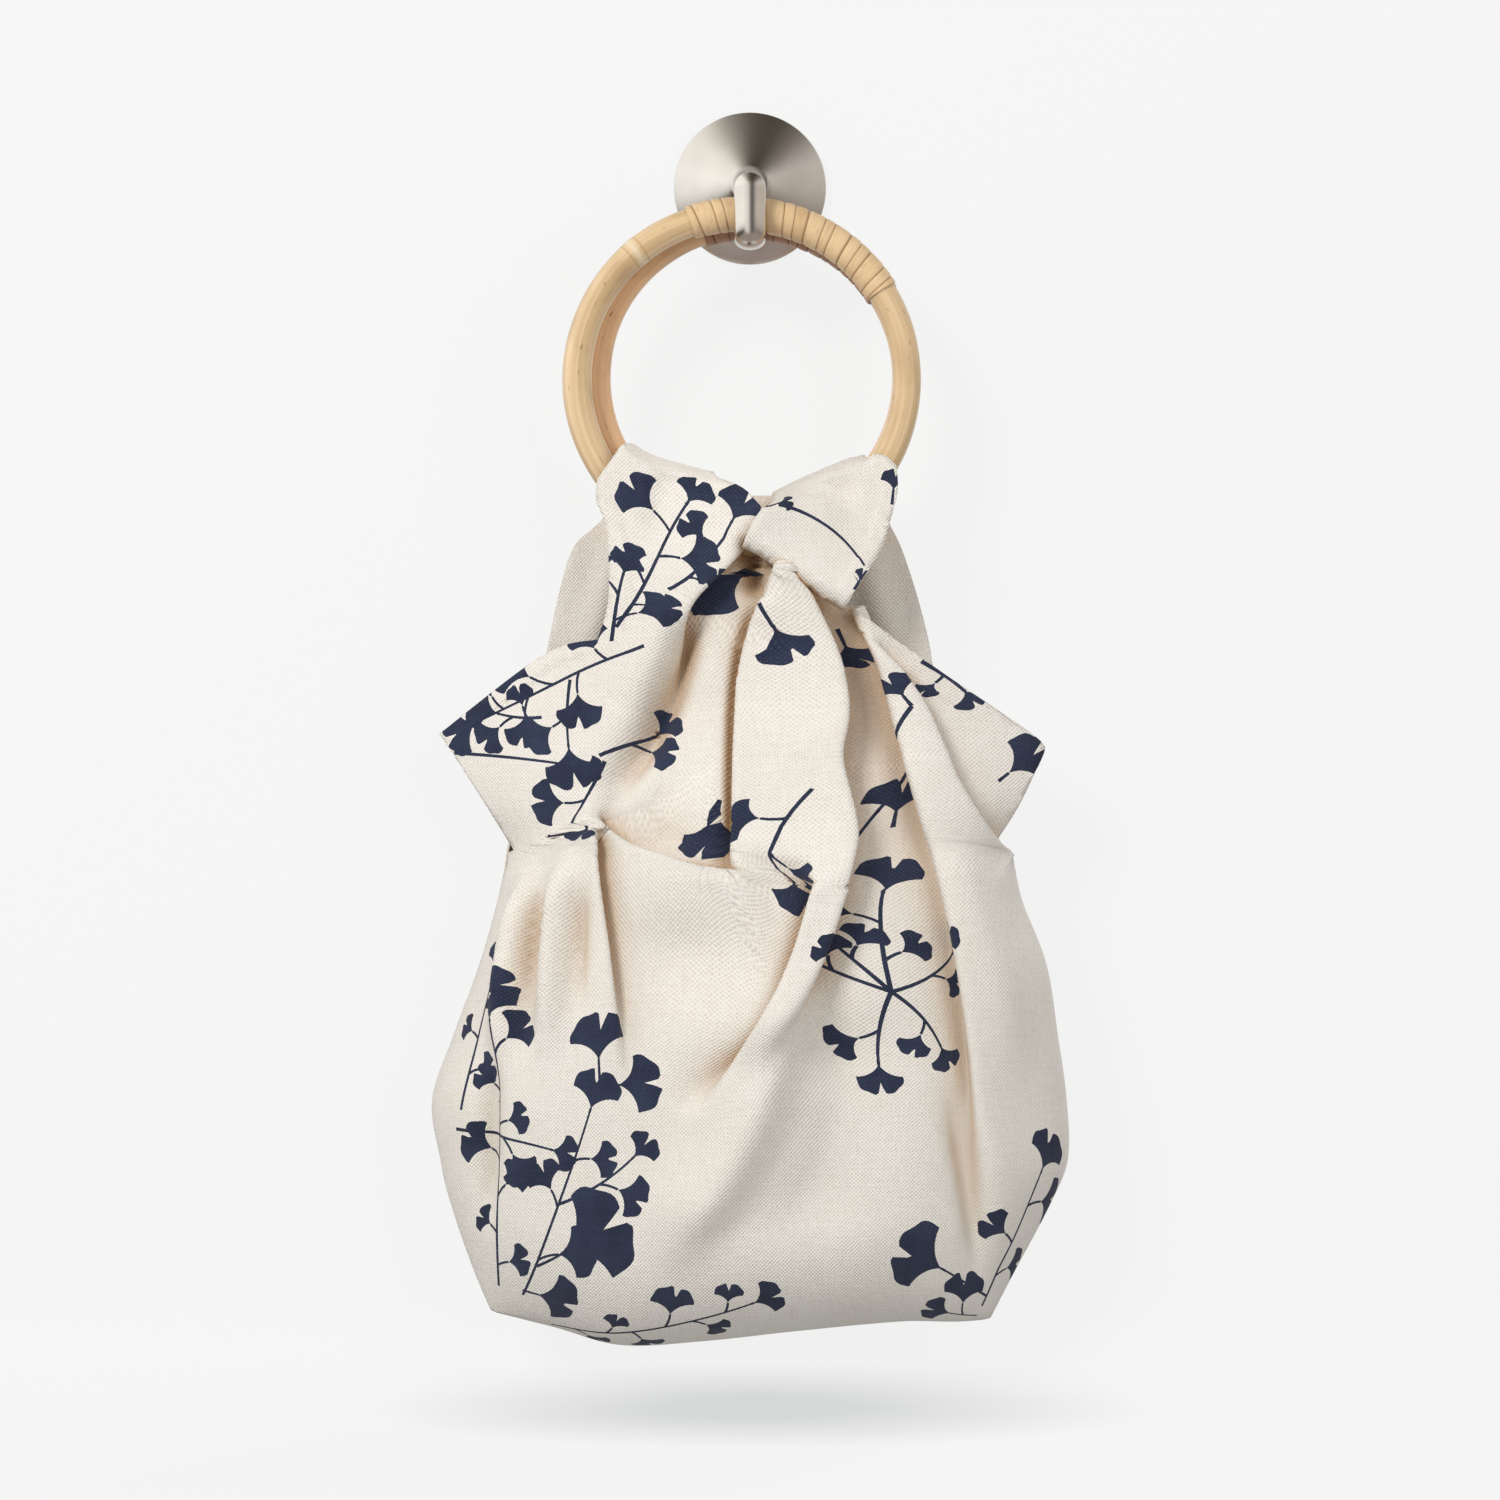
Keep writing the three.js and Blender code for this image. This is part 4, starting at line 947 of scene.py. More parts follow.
# %% [markdown]
# A constrained Delaunay triangulation joins the points and keeps every edge of the print and the
# hems. A triangle whose middle lies inside a leaf or a stem is ink, and the rest is bare cotton.

# %% Mesh a flat panel
KEEP_INSIDE, SAME_PLACE = 1, 1e-4


def area_of(shape):
    x, z = shape.T
    return np.sum(x * np.roll(z, -1) - np.roll(x, -1) * z) / 2


def mesh_flat(outline, shapes, folds, hems):
    hems = [line for hem in hems for line in hem_lines(hem, outline)]
    drawn = np.concatenate([outline, *shapes, *hems])
    joins, first = [], len(outline)
    for line, joined in [(shape, 0) for shape in shapes] + [(line, 1) for line in hems]:
        count = len(line)
        joins += [(first + i, first + (i + 1) % count) for i in range(count - joined)]
        first += count
    points = [tuple(p) for p in drawn] + clear_of(grid_points(outline, folds), drawn)
    cut = list(range(len(outline)))
    if area_of(outline) < 0:
        cut = cut[::-1]
    out = delaunay_2d_cdt(points, joins, [cut], KEEP_INSIDE, SAME_PLACE)
    flat = np.array([list(v) for v in out[0]])
    triangles = np.array([tri for tri, of in zip(out[2], out[5]) if 0 in of])
    used, index = np.unique(triangles, return_inverse=True)
    return flat[used], index.reshape(-1, 3)


def find_inked(flat, triangles, shapes):
    middle = flat[triangles].mean(1)
    inked = np.zeros(len(triangles), bool)
    for shape in shapes:
        low, high = shape.min(0), shape.max(0)
        near = np.flatnonzero(((middle > low) & (middle < high)).all(1))
        inked[near[is_inside(middle[near], shape)]] = True
    return inked


_, tie_triangles = mesh_flat(tie_outline, inks["right_tie"], (), [])
print("the tie alone takes", len(tie_triangles), "triangles")

# %% [markdown]
# The flat mesh is hung by the draping functions. A single sheet would have no edge, so it gets two
# faces, a cloth's thickness apart, and a rim between them. Along the free edges the sheet is a
# little thicker, where the real ones are turned in and sewn as a hem.

# %% Hang the panel and give it its two faces
CLOTH_THICKNESS = 1.2


def point_normals(points, triangles):
    a, b, c = (points[triangles[:, corner]] for corner in range(3))
    facing = np.cross(b - a, c - a)
    normals = np.zeros_like(points)
    for corner in range(3):
        np.add.at(normals, triangles[:, corner], facing)
    return normals / np.maximum(np.linalg.norm(normals, axis=1), 1e-9)[:, None]


def open_edges(triangles):
    pairs = np.concatenate([triangles[:, [0, 1]], triangles[:, [1, 2]], triangles[:, [2, 0]]])
    known = {tuple(pair) for pair in pairs.tolist()}
    return np.array([pair for pair in pairs.tolist() if (pair[1], pair[0]) not in known])


def hem_rise(flat, hems):
    rise = np.zeros(len(flat))
    for line in hems:
        distance = np.abs(nearest_on(line[::2], flat)["signed"])
        rise = np.maximum(rise, HEM_RISE * (1 - smooth((distance - HEM_WIDTH) / HEM_STEP)))
    return rise


def add_mesh(name, points, faces):
    mesh = bpy.data.meshes.new(name)
    mesh.from_pydata((np.reshape(points, (-1, 3)) * MM).tolist(), [], faces)
    mesh.polygons.foreach_set("use_smooth", np.ones(len(faces), bool))
    mesh.update()
    piece = bpy.data.objects.new(name, mesh)
    bpy.context.collection.objects.link(piece)
    return piece


def add_map(piece, name, corners):
    layer = piece.data.uv_layers.new(name=name)
    layer.data.foreach_set("uv", np.asarray(corners).astype(np.float32).ravel())
    piece.data.update()


def cloth_piece(name, sides, drape, hems, folds=(), faces_back=False):
    outline = closed_outline(sides.values())
    flat, triangles = mesh_flat(outline, inks[name], folds, hems)
    inked = find_inked(flat, triangles, inks[name])
    middle, count = drape(flat), len(flat)
    if faces_back:
        triangles = triangles[:, ::-1]
    normals = point_normals(middle, triangles)
    out = normals * (CLOTH_THICKNESS / 2 + hem_rise(flat, hems))[:, None]
    faces = triangles.tolist()
    faces += (triangles[:, ::-1] + count).tolist()
    faces += [[b, a, a + count, b + count] for a, b in open_edges(triangles).tolist()]
    piece = add_mesh(name + "_cloth", np.concatenate([middle + out, middle - out]), faces)
    slots = np.zeros(len(faces), np.int32)
    slots[: len(triangles)] = inked
    piece.data.polygons.foreach_set("material_index", slots)
    corners = np.zeros(len(piece.data.loops), np.int32)
    piece.data.loops.foreach_get("vertex_index", corners)
    add_map(piece, "flat_cloth", flat[corners % count] * MM)
    size, area = outline.max(0) - outline.min(0), abs(area_of(outline))
    print(name, "cloth:", len(faces), "faces,", int(inked.sum()), "inked, flat size",
          size.round().tolist(), "mm, area", round(area), "square mm")
    return piece, (size * MM).tolist(), float(area) * MM * MM


front, tie = edges["front_panel"], edges["right_tie"]
hemmed = ("right ear hem", "left ear hem", "left tie side", "under the knot")
front_hems = [front[name] for name in hemmed]
front_cloth, front_size, front_area = cloth_piece(
    "front_panel", front, drape_front, front_hems, laps
)
back_cloth, back_size, back_area = cloth_piece(
    "back_panel", edges["back_panel"], drape_back, [], faces_back=True
)
tie_cloth, tie_size, tie_area = cloth_piece(
    "right_tie", tie, drape_tie, [tie["bottom"], tie["side"]]
)

# %% [markdown]
# Each piece rides on the one body, and the plain solid that it stands for is hidden.

for piece, node, flat, area, rests in (
    (front_cloth, "front_panel", front_size, front_area, ["ring_front", "ring_back"]),
    (back_cloth, "back_panel", back_size, back_area, [front_cloth]),
    (tie_cloth, "right_tie", tie_size, tie_area, ["ring_front", "ring_back"]),
):
    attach(piece, "root")
    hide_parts(node)
    print(piece.name, "stands for", node)

# %% [markdown]
# Shader maths reads best as plain expressions. One small class wraps a socket and adds a Math node
# for each operator. Numbers and other sockets can stand on either side of it.

# %% Sums on sockets


def put(tree, slot, value):
    if isinstance(value, Wire):
        tree.links.new(value.socket, slot)
    elif hasattr(slot.default_value, "__len__") and not hasattr(value, "__len__"):
        slot.default_value = [value] * len(slot.default_value)
    elif hasattr(slot.default_value, "__len__") and len(value) < len(slot.default_value):
        slot.default_value = [*value, 1.0]
    else:
        slot.default_value = value


def maths(tree, operation, *values):
    node = tree.nodes.new("ShaderNodeMath")
    node.operation = operation
    for slot, value in zip(node.inputs, values):
        put(tree, slot, value)
    return Wire(tree, node.outputs[0])


class Wire:
    """One output socket, with arithmetic."""

    def __init__(self, tree, socket):
        self.tree, self.socket = tree, socket

    def math(self, operation, *values):
        return maths(self.tree, operation, self, *values)

    def __add__(self, other):
        return self.math("ADD", other)

    def __radd__(self, other):
        return maths(self.tree, "ADD", other, self)

    def __sub__(self, other):
        return self.math("SUBTRACT", other)

    def __rsub__(self, other):
        return maths(self.tree, "SUBTRACT", other, self)

    def __mul__(self, other):
        return self.math("MULTIPLY", other)

    def __rmul__(self, other):
        return maths(self.tree, "MULTIPLY", other, self)

    def __truediv__(self, other):
        return self.math("DIVIDE", other)

    def __pow__(self, other):
        return self.math("POWER", other)

    def between(self, low, high):
        share = ((self - low) / (high - low)).math("MAXIMUM", 0.0)
        return share.math("SMOOTH_MIN", 1.0, 0.0)


print("a wire takes sums such as (noise - 0.5) * 2.0")

# %% [markdown]
# A bench is a node tree with short ways to add to it. One method adds any node from its type, its
# settings and the values or wires of its sockets, and the others are the few that come up often. A
# finish is a bench whose last node is the Principled shader.

# %% A bench for materials
HOLLOW_SAMPLES = 6


class Bench:
    """A node tree with short ways to add to it."""

    def __init__(self, tree):
        self.tree = tree

    def node(self, kind, settings=None, output=0, **values):
        node = self.tree.nodes.new("ShaderNode" + kind)
        for name, value in (settings or {}).items():
            if name == "stops":
                self.set_stops(node.color_ramp.elements, value)
            else:
                setattr(node, name, value)
        for name, value in values.items():
            known = {slot.name.replace(" ", "_"): slot for slot in node.inputs if slot.enabled}
            put(self.tree, known[name], value)
        return Wire(self.tree, node.outputs[output])

    def set_stops(self, ramp, stops):
        while len(ramp) < len(stops):
            ramp.new(1.0)
        for stop, (place, colour) in zip(ramp, stops):
            stop.position, stop.color = place, [*colour, 1.0]

    def noise(self, place, scale, detail=2.0):
        return self.node("TexNoise", Vector=place, Scale=scale, Detail=detail)

    def streaky(self, place, x, y, detail=1.0):
        stretched = self.node("Mapping", Vector=place, Scale=(x, y, 1.0))
        return self.noise(stretched, 1.0, detail)

    def mix(self, factor, first, second):
        return self.node("Mix", {"data_type": "RGBA"}, output=2, Factor=factor, A=first, B=second)

    def along(self, value):
        return self.node("CombineXYZ", X=value, Y=0.0, Z=0.0)

    def parts(self, place):
        return [self.node("SeparateXYZ", output=axis, Vector=place) for axis in range(3)]

    def hollows(self, reach):
        settings = {"samples": HOLLOW_SAMPLES, "only_local": False}
        open_sky = self.node("AmbientOcclusion", settings, output=1, Distance=reach)
        return 1.0 - open_sky


class Finish(Bench):
    """One material on its own bench."""

    def __init__(self, name, **shader):
        self.material = bpy.data.materials.new(name)
        self.material.use_nodes = True
        super().__init__(self.material.node_tree)
        self.shader = self.tree.nodes["Principled BSDF"]
        self.set(**shader)

    def set(self, **values):
        for name, value in values.items():
            put(self.tree, self.shader.inputs[name.replace("_", " ")], value)

    def bump(self, height, distance, strength):
        self.set(Normal=self.node("Bump", Height=height, Distance=distance, Strength=strength))


print("a hollow is felt with", HOLLOW_SAMPLES, "rays")

# %% [markdown]
# The cotton is a plain weave of slubby natural yarn. Its two sets of threads are two sine waves in
# the flat cloth, each bent a little by noise so that no thread is quite straight. Their product is
# the over and under of the weave, and slow noise stretched along each thread makes the thick and
# thin places. A photograph of cloth would do for one view, but this keeps its threads at any size.

# %% The weave
THREAD = 0.8
WAVER_SCALE, WAVER = 240.0, 3.2
DRIFT_SCALE, DRIFT = 24.0, 5.0
SLUB_LENGTH, SLUB_WIDTH = 95.0, 760.0
GRAIN_SCALE = 1500.0


def woven(finish):
    flat = finish.node("UVMap", {"uv_map": "flat_cloth"})
    across, along, _ = finish.parts(flat)
    per_thread = math.pi / (THREAD * MM)
    waver = (finish.noise(flat, WAVER_SCALE) - 0.5) * WAVER
    drift = (finish.noise(flat, DRIFT_SCALE, 1.0) - 0.5) * DRIFT
    warp = (across * per_thread + waver + drift).math("SINE")
    weft = (along * per_thread + waver - drift).math("SINE")
    slub_up = finish.streaky(flat, SLUB_WIDTH, SLUB_LENGTH)
    slub_side = finish.streaky(flat, SLUB_LENGTH, SLUB_WIDTH)
    grain = finish.noise(flat, GRAIN_SCALE)
    height = warp * weft * 0.5 + (slub_up + slub_side - 1.0) * 0.55 + (grain - 0.5) * 0.3
    return flat, height, grain


print("weave: one thread each", THREAD, "mm")

# %% [markdown]
# Natural cotton isn't one colour. Wide clouds make the cream warmer and cooler, the gaps between
# the threads are painted darker as shade, and a few small dark flecks are bits of husk left in the
# yarn. Deep in a fold a brown shade is painted into the colour, as much as a ray count of the
# hollows gives.
# The ink is the same cloth dyed navy: it wears on the crowns of the threads.

# %% Natural cotton and navy ink
CREAM, WARM_CREAM, PORE_SHADE = (0.84, 0.802, 0.745), (0.805, 0.763, 0.695), (0.675, 0.61, 0.53)
HUSK, PAINTED_FOLD_SHADE = (0.36, 0.27, 0.18), (0.58, 0.40, 0.24)
NAVY, PALE_NAVY, WORN_NAVY = (0.020, 0.026, 0.052), (0.032, 0.041, 0.078), (0.10, 0.115, 0.16)
FOLD_REACH = 30.0


def cotton():
    finish = Finish("natural_cotton", Roughness=0.92, Sheen_Weight=0.12, Sheen_Roughness=0.5,
                    Specular_IOR_Level=0.2)
    flat, height, grain = woven(finish)
    cloudy = finish.noise(flat, 16.0, 3.0)
    cream = finish.mix(cloudy.between(0.3, 0.7), CREAM, WARM_CREAM)
    # Painted shade: the low places of the weave, between the threads, are mixed darker.
    pore_shade = (height + grain * 0.25).between(-0.45, 0.15)
    cream = finish.mix(pore_shade, PORE_SHADE, cream)
    speck = finish.node("TexVoronoi", {"feature": "F1"}, Vector=flat, Scale=330.0)
    rare = finish.noise(flat, 120.0, 1.0).between(0.61, 0.67)
    fleck = (1.0 - speck.between(0.04, 0.11)) * rare
    cream = finish.mix(fleck * 0.5, cream, HUSK)
    # Painted shade: the cream is mixed towards brown as far as the fold's occlusion count reaches.
    hollow = finish.hollows(FOLD_REACH * MM).between(0.14, 0.80)
    finish.set(Base_Color=finish.mix(hollow, cream, PAINTED_FOLD_SHADE))
    finish.bump(height, 0.36 * MM, 0.85)
    return finish.material


def navy():
    finish = Finish("navy_ink", Roughness=0.85, Sheen_Weight=0.08, Specular_IOR_Level=0.2)
    flat, height, grain = woven(finish)
    patchy = finish.noise(flat, 60.0).between(0.35, 0.75)
    ink = finish.mix(patchy, NAVY, PALE_NAVY)
    worn = (height + grain * 0.5).between(0.35, 0.95)
    finish.set(Base_Color=finish.mix(worn * 0.4, ink, WORN_NAVY))
    finish.bump(height, 0.24 * MM, 0.8)
    return finish.material


cotton_finish, navy_finish = cotton(), navy()
for piece in (front_cloth, back_cloth, tie_cloth):
    piece.data.materials.append(cotton_finish)
    piece.data.materials.append(navy_finish)
    print(piece.name, "is", cotton_finish.name, "with", navy_finish.name)

# %% [markdown]
# The rings are bent cane, peeled and varnished. A tube swept round a circle would be too perfect:
# real cane swells a little at its joints and wanders off round. The skin is a grid of points with
# a slow swell along the ring. Its map runs in metres along and round the cane, so the grain can be
# stretched along it.

# %% A skin over rows of points
TUBE_DIAMETER = 12.4
RINGS = table(
    ["name", "diameter", "x", "z", "depth", "joint"],
    [
        ["front", 151.2, -3.4, -87.6, -51.0, -40.0],
        ["back", 144.4, 0.5, -85.6, -34.0, 172.0],
    ],
)


def skin(name, points, map_step, closed_along, material):
    along, around = points.shape[0], points.shape[1] - 1
    faces, corners = [], []
    for i in range(along if closed_along else along - 1):
        for j in range(around):
            quad = [(i, j), (i, j + 1), (i + 1, j + 1), (i + 1, j)]
            faces.append([(a % along) * around + b % around for a, b in quad])
            corners += [(a * map_step[0], b * map_step[1]) for a, b in quad]
    piece = add_mesh(name, points[:, :-1], faces)
    add_map(piece, "grain", corners)
    piece.data.materials.append(material)
    return piece


def ring_points(ring, angles, rounds, radius):
    middle = (ring["diameter"] - TUBE_DIAMETER) / 2
    angle, turn = np.meshgrid(np.radians(angles), rounds, indexing="ij")
    reach = middle + radius * np.cos(turn)
    x = ring["x"] + reach * np.sin(angle)
    z = ring["z"] + reach * np.cos(angle)
    return np.stack([x, ring["depth"] - radius * np.sin(turn), z], 2)


def length_of(ring):
    return ring["diameter"] * math.pi * MM


print("rings:", [(ring["name"], round(length_of(ring), 3)) for ring in RINGS], "m of cane")

# %% [markdown]
# The cane's colour is streaked along its length by fibres, blotched by the drying, and pricked by
# small dark nicks. Where the joint of the stem was, a pale band lies between two thin dark lines.

# %% Peeled cane
PALE_JOINT, NICK = (0.80, 0.68, 0.50), (0.16, 0.08, 0.03)
JOINT_BAND = (0.3 * MM, 2.4 * MM)
JOINT_LINE, LINE_WIDTH = 3.2 * MM, 0.7 * MM
JOINT_WANDER = 4.0 * MM


def cane(name, ring, light, mid, dark):
    finish = Finish(name, Roughness=0.4, Coat_Roughness=0.2, Specular_IOR_Level=0.45)
    grain = finish.node("UVMap", {"uv_map": "grain"})
    along = finish.parts(grain)[0]
    fine = finish.streaky(grain, 14.0, 1400.0, 3.0)
    slow = finish.streaky(grain, 6.0, 300.0, 2.0)
    blotch = finish.streaky(grain, 30.0, 55.0, 2.0)
    nicks = finish.streaky(grain, 160.0, 900.0).between(0.70, 0.76)
    colour = finish.mix(slow.between(0.34, 0.62), mid, light)
    colour = finish.mix(blotch.between(0.5, 0.75) * 0.6, colour, dark)
    colour = finish.mix(fine.between(0.52, 0.75) * 0.35, colour, dark)
    joint = (ring["joint"] % 360) / 360 * length_of(ring)
    off = (along - joint + (blotch - 0.5) * JOINT_WANDER).math("ABSOLUTE")
    colour = finish.mix((1.0 - off.between(*JOINT_BAND)) * 0.6, colour, PALE_JOINT)
    line = (off - JOINT_LINE).math("ABSOLUTE")
    colour = finish.mix((1.0 - line.between(0.0, LINE_WIDTH)) * 0.5, colour, dark)
    finish.set(Base_Color=finish.mix(nicks * 0.6, colour, NICK), Coat_Weight=0.3 + slow * 0.3)
    finish.bump(fine * 0.6 + blotch * 0.4, 0.3 * MM, 0.6)
    return finish.material


# Painted light: the back ring is coloured lighter than the front, against the front ring's shadow.
CANE_COLOURS = {
    "front": ((0.78, 0.58, 0.35), (0.60, 0.42, 0.225), (0.36, 0.22, 0.105)),
    "back": ((0.86, 0.56, 0.32), (0.74, 0.44, 0.23), (0.42, 0.23, 0.11)),
}
canes = {ring["name"]: cane("peeled_cane_" + ring["name"], ring, *CANE_COLOURS[ring["name"]])
         for ring in RINGS}
print("cane finishes:", [material.name for material in canes.values()])

# %% [markdown]
# Each ring is a circle of round sections. The tube is a shade thinner than the plain solid's, and
# swells at its joint with a narrow neck in the middle of the swelling. A slow wander along the ring
# makes its section a little oval, now one way and now the other.

# %% The cane rings
RING_ANGLES = np.arange(0, 360, 1.5)
ROUND_STEPS = 40
SLACK = 0.08
JOINT_SWELL, SWELL_WIDTH = 0.22, 2.2
JOINT_NECK, NECK_WIDTH = 0.12, 0.9
WANDER = table(["size", "waves", "shift"], [[0.10, 3, 40], [0.06, 7, 0]])


def ring_radius(ring, rounds):
    angle = RING_ANGLES[:, None]
    off_joint = np.abs((angle - ring["joint"] + 180) % 360 - 180)
    swell = JOINT_SWELL * np.exp(-((off_joint / SWELL_WIDTH) ** 2))
    swell = swell - JOINT_NECK * np.exp(-((off_joint / NECK_WIDTH) ** 2))
    wander = sum(w["size"] * np.sin(np.radians(angle * w["waves"] + w["shift"])) for w in WANDER)
    return TUBE_DIAMETER / 2 - SLACK + swell + wander * np.cos(rounds * 2)


rounds = np.linspace(0, 2 * np.pi, ROUND_STEPS + 1)
for ring in RINGS:
    points = ring_points(ring, RING_ANGLES, rounds, ring_radius(ring, rounds))
    map_step = (length_of(ring) / len(RING_ANGLES), TUBE_DIAMETER * math.pi * MM / ROUND_STEPS)
    piece = skin("cane_ring_" + ring["name"], points, map_step, True, canes[ring["name"]])
    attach(piece, "root")
    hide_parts("ring_" + ring["name"])
    print(piece.name, "is", ring["diameter"], "mm across")

# %% [markdown]
# Split cane is wound round the top of each ring. The turns lie side by side and slant, because a
# winding is a spiral. They could be single strips, but no one sees under them, so they are one
# sleeve whose surface rises over each turn and drops into a narrow groove between two. The phase
# moves on by one turn as it goes once round. A slow sine pushes it back and forth, so some turns
# are wider than others, as a hand winds them.

# %% The wound bindings
BINDING = {"start": -18.5, "sweep": 76.5, "turns": 16, "gap": 0.25, "thick": 0.8, "groove": 0.6}
UNEVEN, UNEVEN_RATE = 0.17, 2.4
TURN_STEPS, WOUND_STEPS = 16, 48
GROOVE_POWER = 7
LEAN_EACH, LEAN_ACROSS = 0.12, 0.10
END_RISE, END_SLOPE = 0.5, 1.6


def binding_points(ring, angles, rounds):
    angle, turn = np.meshgrid(angles, rounds, indexing="ij")
    share = (angle - BINDING["start"]) / BINDING["sweep"]
    phase = share * BINDING["turns"] - turn / (2 * np.pi) + 0.5
    phase = phase + UNEVEN * np.sin(phase * UNEVEN_RATE)
    number = np.floor(phase)
    across = np.abs(phase - number - 0.5) * 2
    lean = LEAN_EACH * np.sin(number * 12.9) + LEAN_ACROSS * (phase - number - 0.5)
    inside = TUBE_DIAMETER / 2 + BINDING["gap"]
    radius = inside + BINDING["thick"] - BINDING["groove"] * across**GROOVE_POWER + lean
    end = np.minimum(share, 1 - share) * BINDING["sweep"]
    radius = np.where(end <= 0, inside, np.minimum(radius, inside + END_RISE + end * END_SLOPE))
    return ring_points(ring, angles, rounds, radius)


def split_cane(name, light, mid, groove):
    finish = Finish(name, Roughness=0.48, Coat_Roughness=0.3)
    grain = finish.node("UVMap", {"uv_map": "grain"})
    across, around, _ = finish.parts(grain)
    phase = across - around + 0.5
    phase = phase + (phase * UNEVEN_RATE).math("SINE") * UNEVEN
    number = phase.math("FLOOR")
    edge = (phase - number - 0.5).math("ABSOLUTE") * 2.0
    tone = finish.noise(finish.along(number * 7.3), 1.0, 0.0)
    lines = finish.streaky(grain, 46.0, 2.2, 3.0)
    blotch = finish.streaky(grain, 3.0, 9.0, 2.0)
    colour = finish.mix(tone.between(0.3, 0.7), mid, light)
    colour = finish.mix(lines.between(0.45, 0.75) * 0.5, colour, [c * 0.62 for c in mid])
    colour = finish.mix(blotch.between(0.52, 0.75) * 0.5, colour, [c * 0.7 for c in mid])
    colour = finish.mix(edge.between(0.84, 0.99), colour, groove)
    finish.set(Base_Color=colour, Coat_Weight=(1.0 - edge.between(0.7, 1.0)) * 0.3)
    finish.bump(lines * 0.5 + blotch * 0.3, 0.2 * MM, 0.6)
    return finish.material


STRIPS = {
    "front": ("split_cane", (0.80, 0.585, 0.34), (0.68, 0.455, 0.24), (0.30, 0.17, 0.08)),
    "back": ("split_cane_dark", (0.50, 0.27, 0.15), (0.38, 0.19, 0.10), (0.09, 0.04, 0.02)),
}
strips = {name: split_cane(*row) for name, row in STRIPS.items()}
steps = BINDING["turns"] * TURN_STEPS
angles = np.linspace(BINDING["start"], BINDING["start"] + BINDING["sweep"], steps + 1)
rounds = np.linspace(0, 2 * np.pi, WOUND_STEPS + 1)
for ring in RINGS:
    points = binding_points(ring, angles, rounds)
    map_step = (BINDING["turns"] / steps, 1 / WOUND_STEPS)
    piece = skin("cane_binding_" + ring["name"], points, map_step, False, strips[ring["name"]])
    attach(piece, "root")
    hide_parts("binding_" + ring["name"])
    print(piece.name, "has", BINDING["turns"], "turns")

# %% [markdown]
# The wall hook is turned and brushed steel: a shallow cone against the wall, a collar at its point,
# and a prong of oval bar that comes forward, down and up again. The cone is spun smooth, so each
# part of it mirrors its own part of the room, which gives the dark and bright wedges. Its fine
# turning lines follow the radius on the plate and the height on the prong.

# %% Brushed steel
TURNING_LINES = 4200.0


def brushed(name, colour, rough, spun):
    finish = Finish(name, Metallic=1.0)
    place = finish.node("TexCoord", output=3)
    x, _, z = finish.parts(place)
    reach = (x * x + z * z) ** 0.5 if spun else z
    rings = finish.noise(finish.along(reach * TURNING_LINES), 1.0)
    cloudy = finish.noise(place, 70.0)
    dull = finish.mix(cloudy.between(0.35, 0.7), colour, [c * 0.9 for c in colour])
    finish.set(Base_Color=dull, Roughness=rough + (rings - 0.5) * 0.10 + (cloudy - 0.5) * 0.06)
    finish.bump(rings, 0.01 * MM, 0.35)
    return finish.material


spun_steel = brushed("spun_steel", (0.70, 0.685, 0.66), 0.24, True)
polished_steel = brushed("polished_steel", (0.72, 0.70, 0.67), 0.2, False)
print("steel finishes:", spun_steel.name, "and", polished_steel.name)

# %% [markdown]
# The plate is a turned piece, so its profile is drawn once and turned round the axis that stands
# out from the wall. A lathe's piece keeps crisp edges, so faces that meet at more than the sharp
# angle are shaded apart.

# %% The wall plate and its collar
PLATE = table(
    ["radius", "depth"],
    [
        [0, 0.0],
        [32.4, 0.0],
        [33.0, 0.4],
        [33.0, 1.9],
        [32.7, 2.6],
        [31.9, 3.1],
        [9.9, 12.0],
        [9.2, 12.4],
        [8.8, 13.0],
        [8.8, 14.2],
        [8.2, 15.0],
        [7.4, 15.2],
        [0, 15.2],
    ],
)
PROFILE_PARTS, PLATE_SIDES = 5, 128
SHARP_ANGLE = 35


def fine_profile(rows):
    points = np.array([[row["radius"], row["depth"]] for row in rows], float)
    shares = np.linspace(0, 1, PROFILE_PARTS, endpoint=False)
    line = [a + (b - a) * share for a, b in zip(points[:-1], points[1:]) for share in shares]
    return np.array(line + [points[-1]])


def turned_piece(name, profile, sides, material):
    angle = np.linspace(0, 2 * np.pi, sides, endpoint=False)
    inner = profile[1:-1]
    points = [[0, -profile[0, 1], 0], [0, -profile[-1, 1], 0]]
    for radius, depth in inner:
        points += [[radius * math.sin(a), -depth, radius * math.cos(a)] for a in angle]
    last = 2 + (len(inner) - 1) * sides
    faces = []
    for side in range(sides):
        beside = (side + 1) % sides
        faces += [[0, 2 + beside, 2 + side], [1, last + side, last + beside]]
        for here in range(2, last, sides):
            above = here + sides
            faces.append([here + side, here + beside, above + beside, above + side])
    piece = add_mesh(name, points, faces)
    piece.data.set_sharp_from_angle(angle=math.radians(SHARP_ANGLE))
    piece.data.materials.append(material)
    return piece


plate = turned_piece("steel_plate", fine_profile(PLATE), PLATE_SIDES, spun_steel)
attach(plate, "root")
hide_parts("hook_plate")
print("plate:", [round(v / MM, 1) for v in plate.dimensions], "mm")

# %% [markdown]
# The prong is one bar that changes its section on the way: round at the collar, flat where the
# rings hang on it, and full again at its upright tip. So its table gives the middle line and the
# section together, and the tip closes with a few rings of points that shrink like a dome.

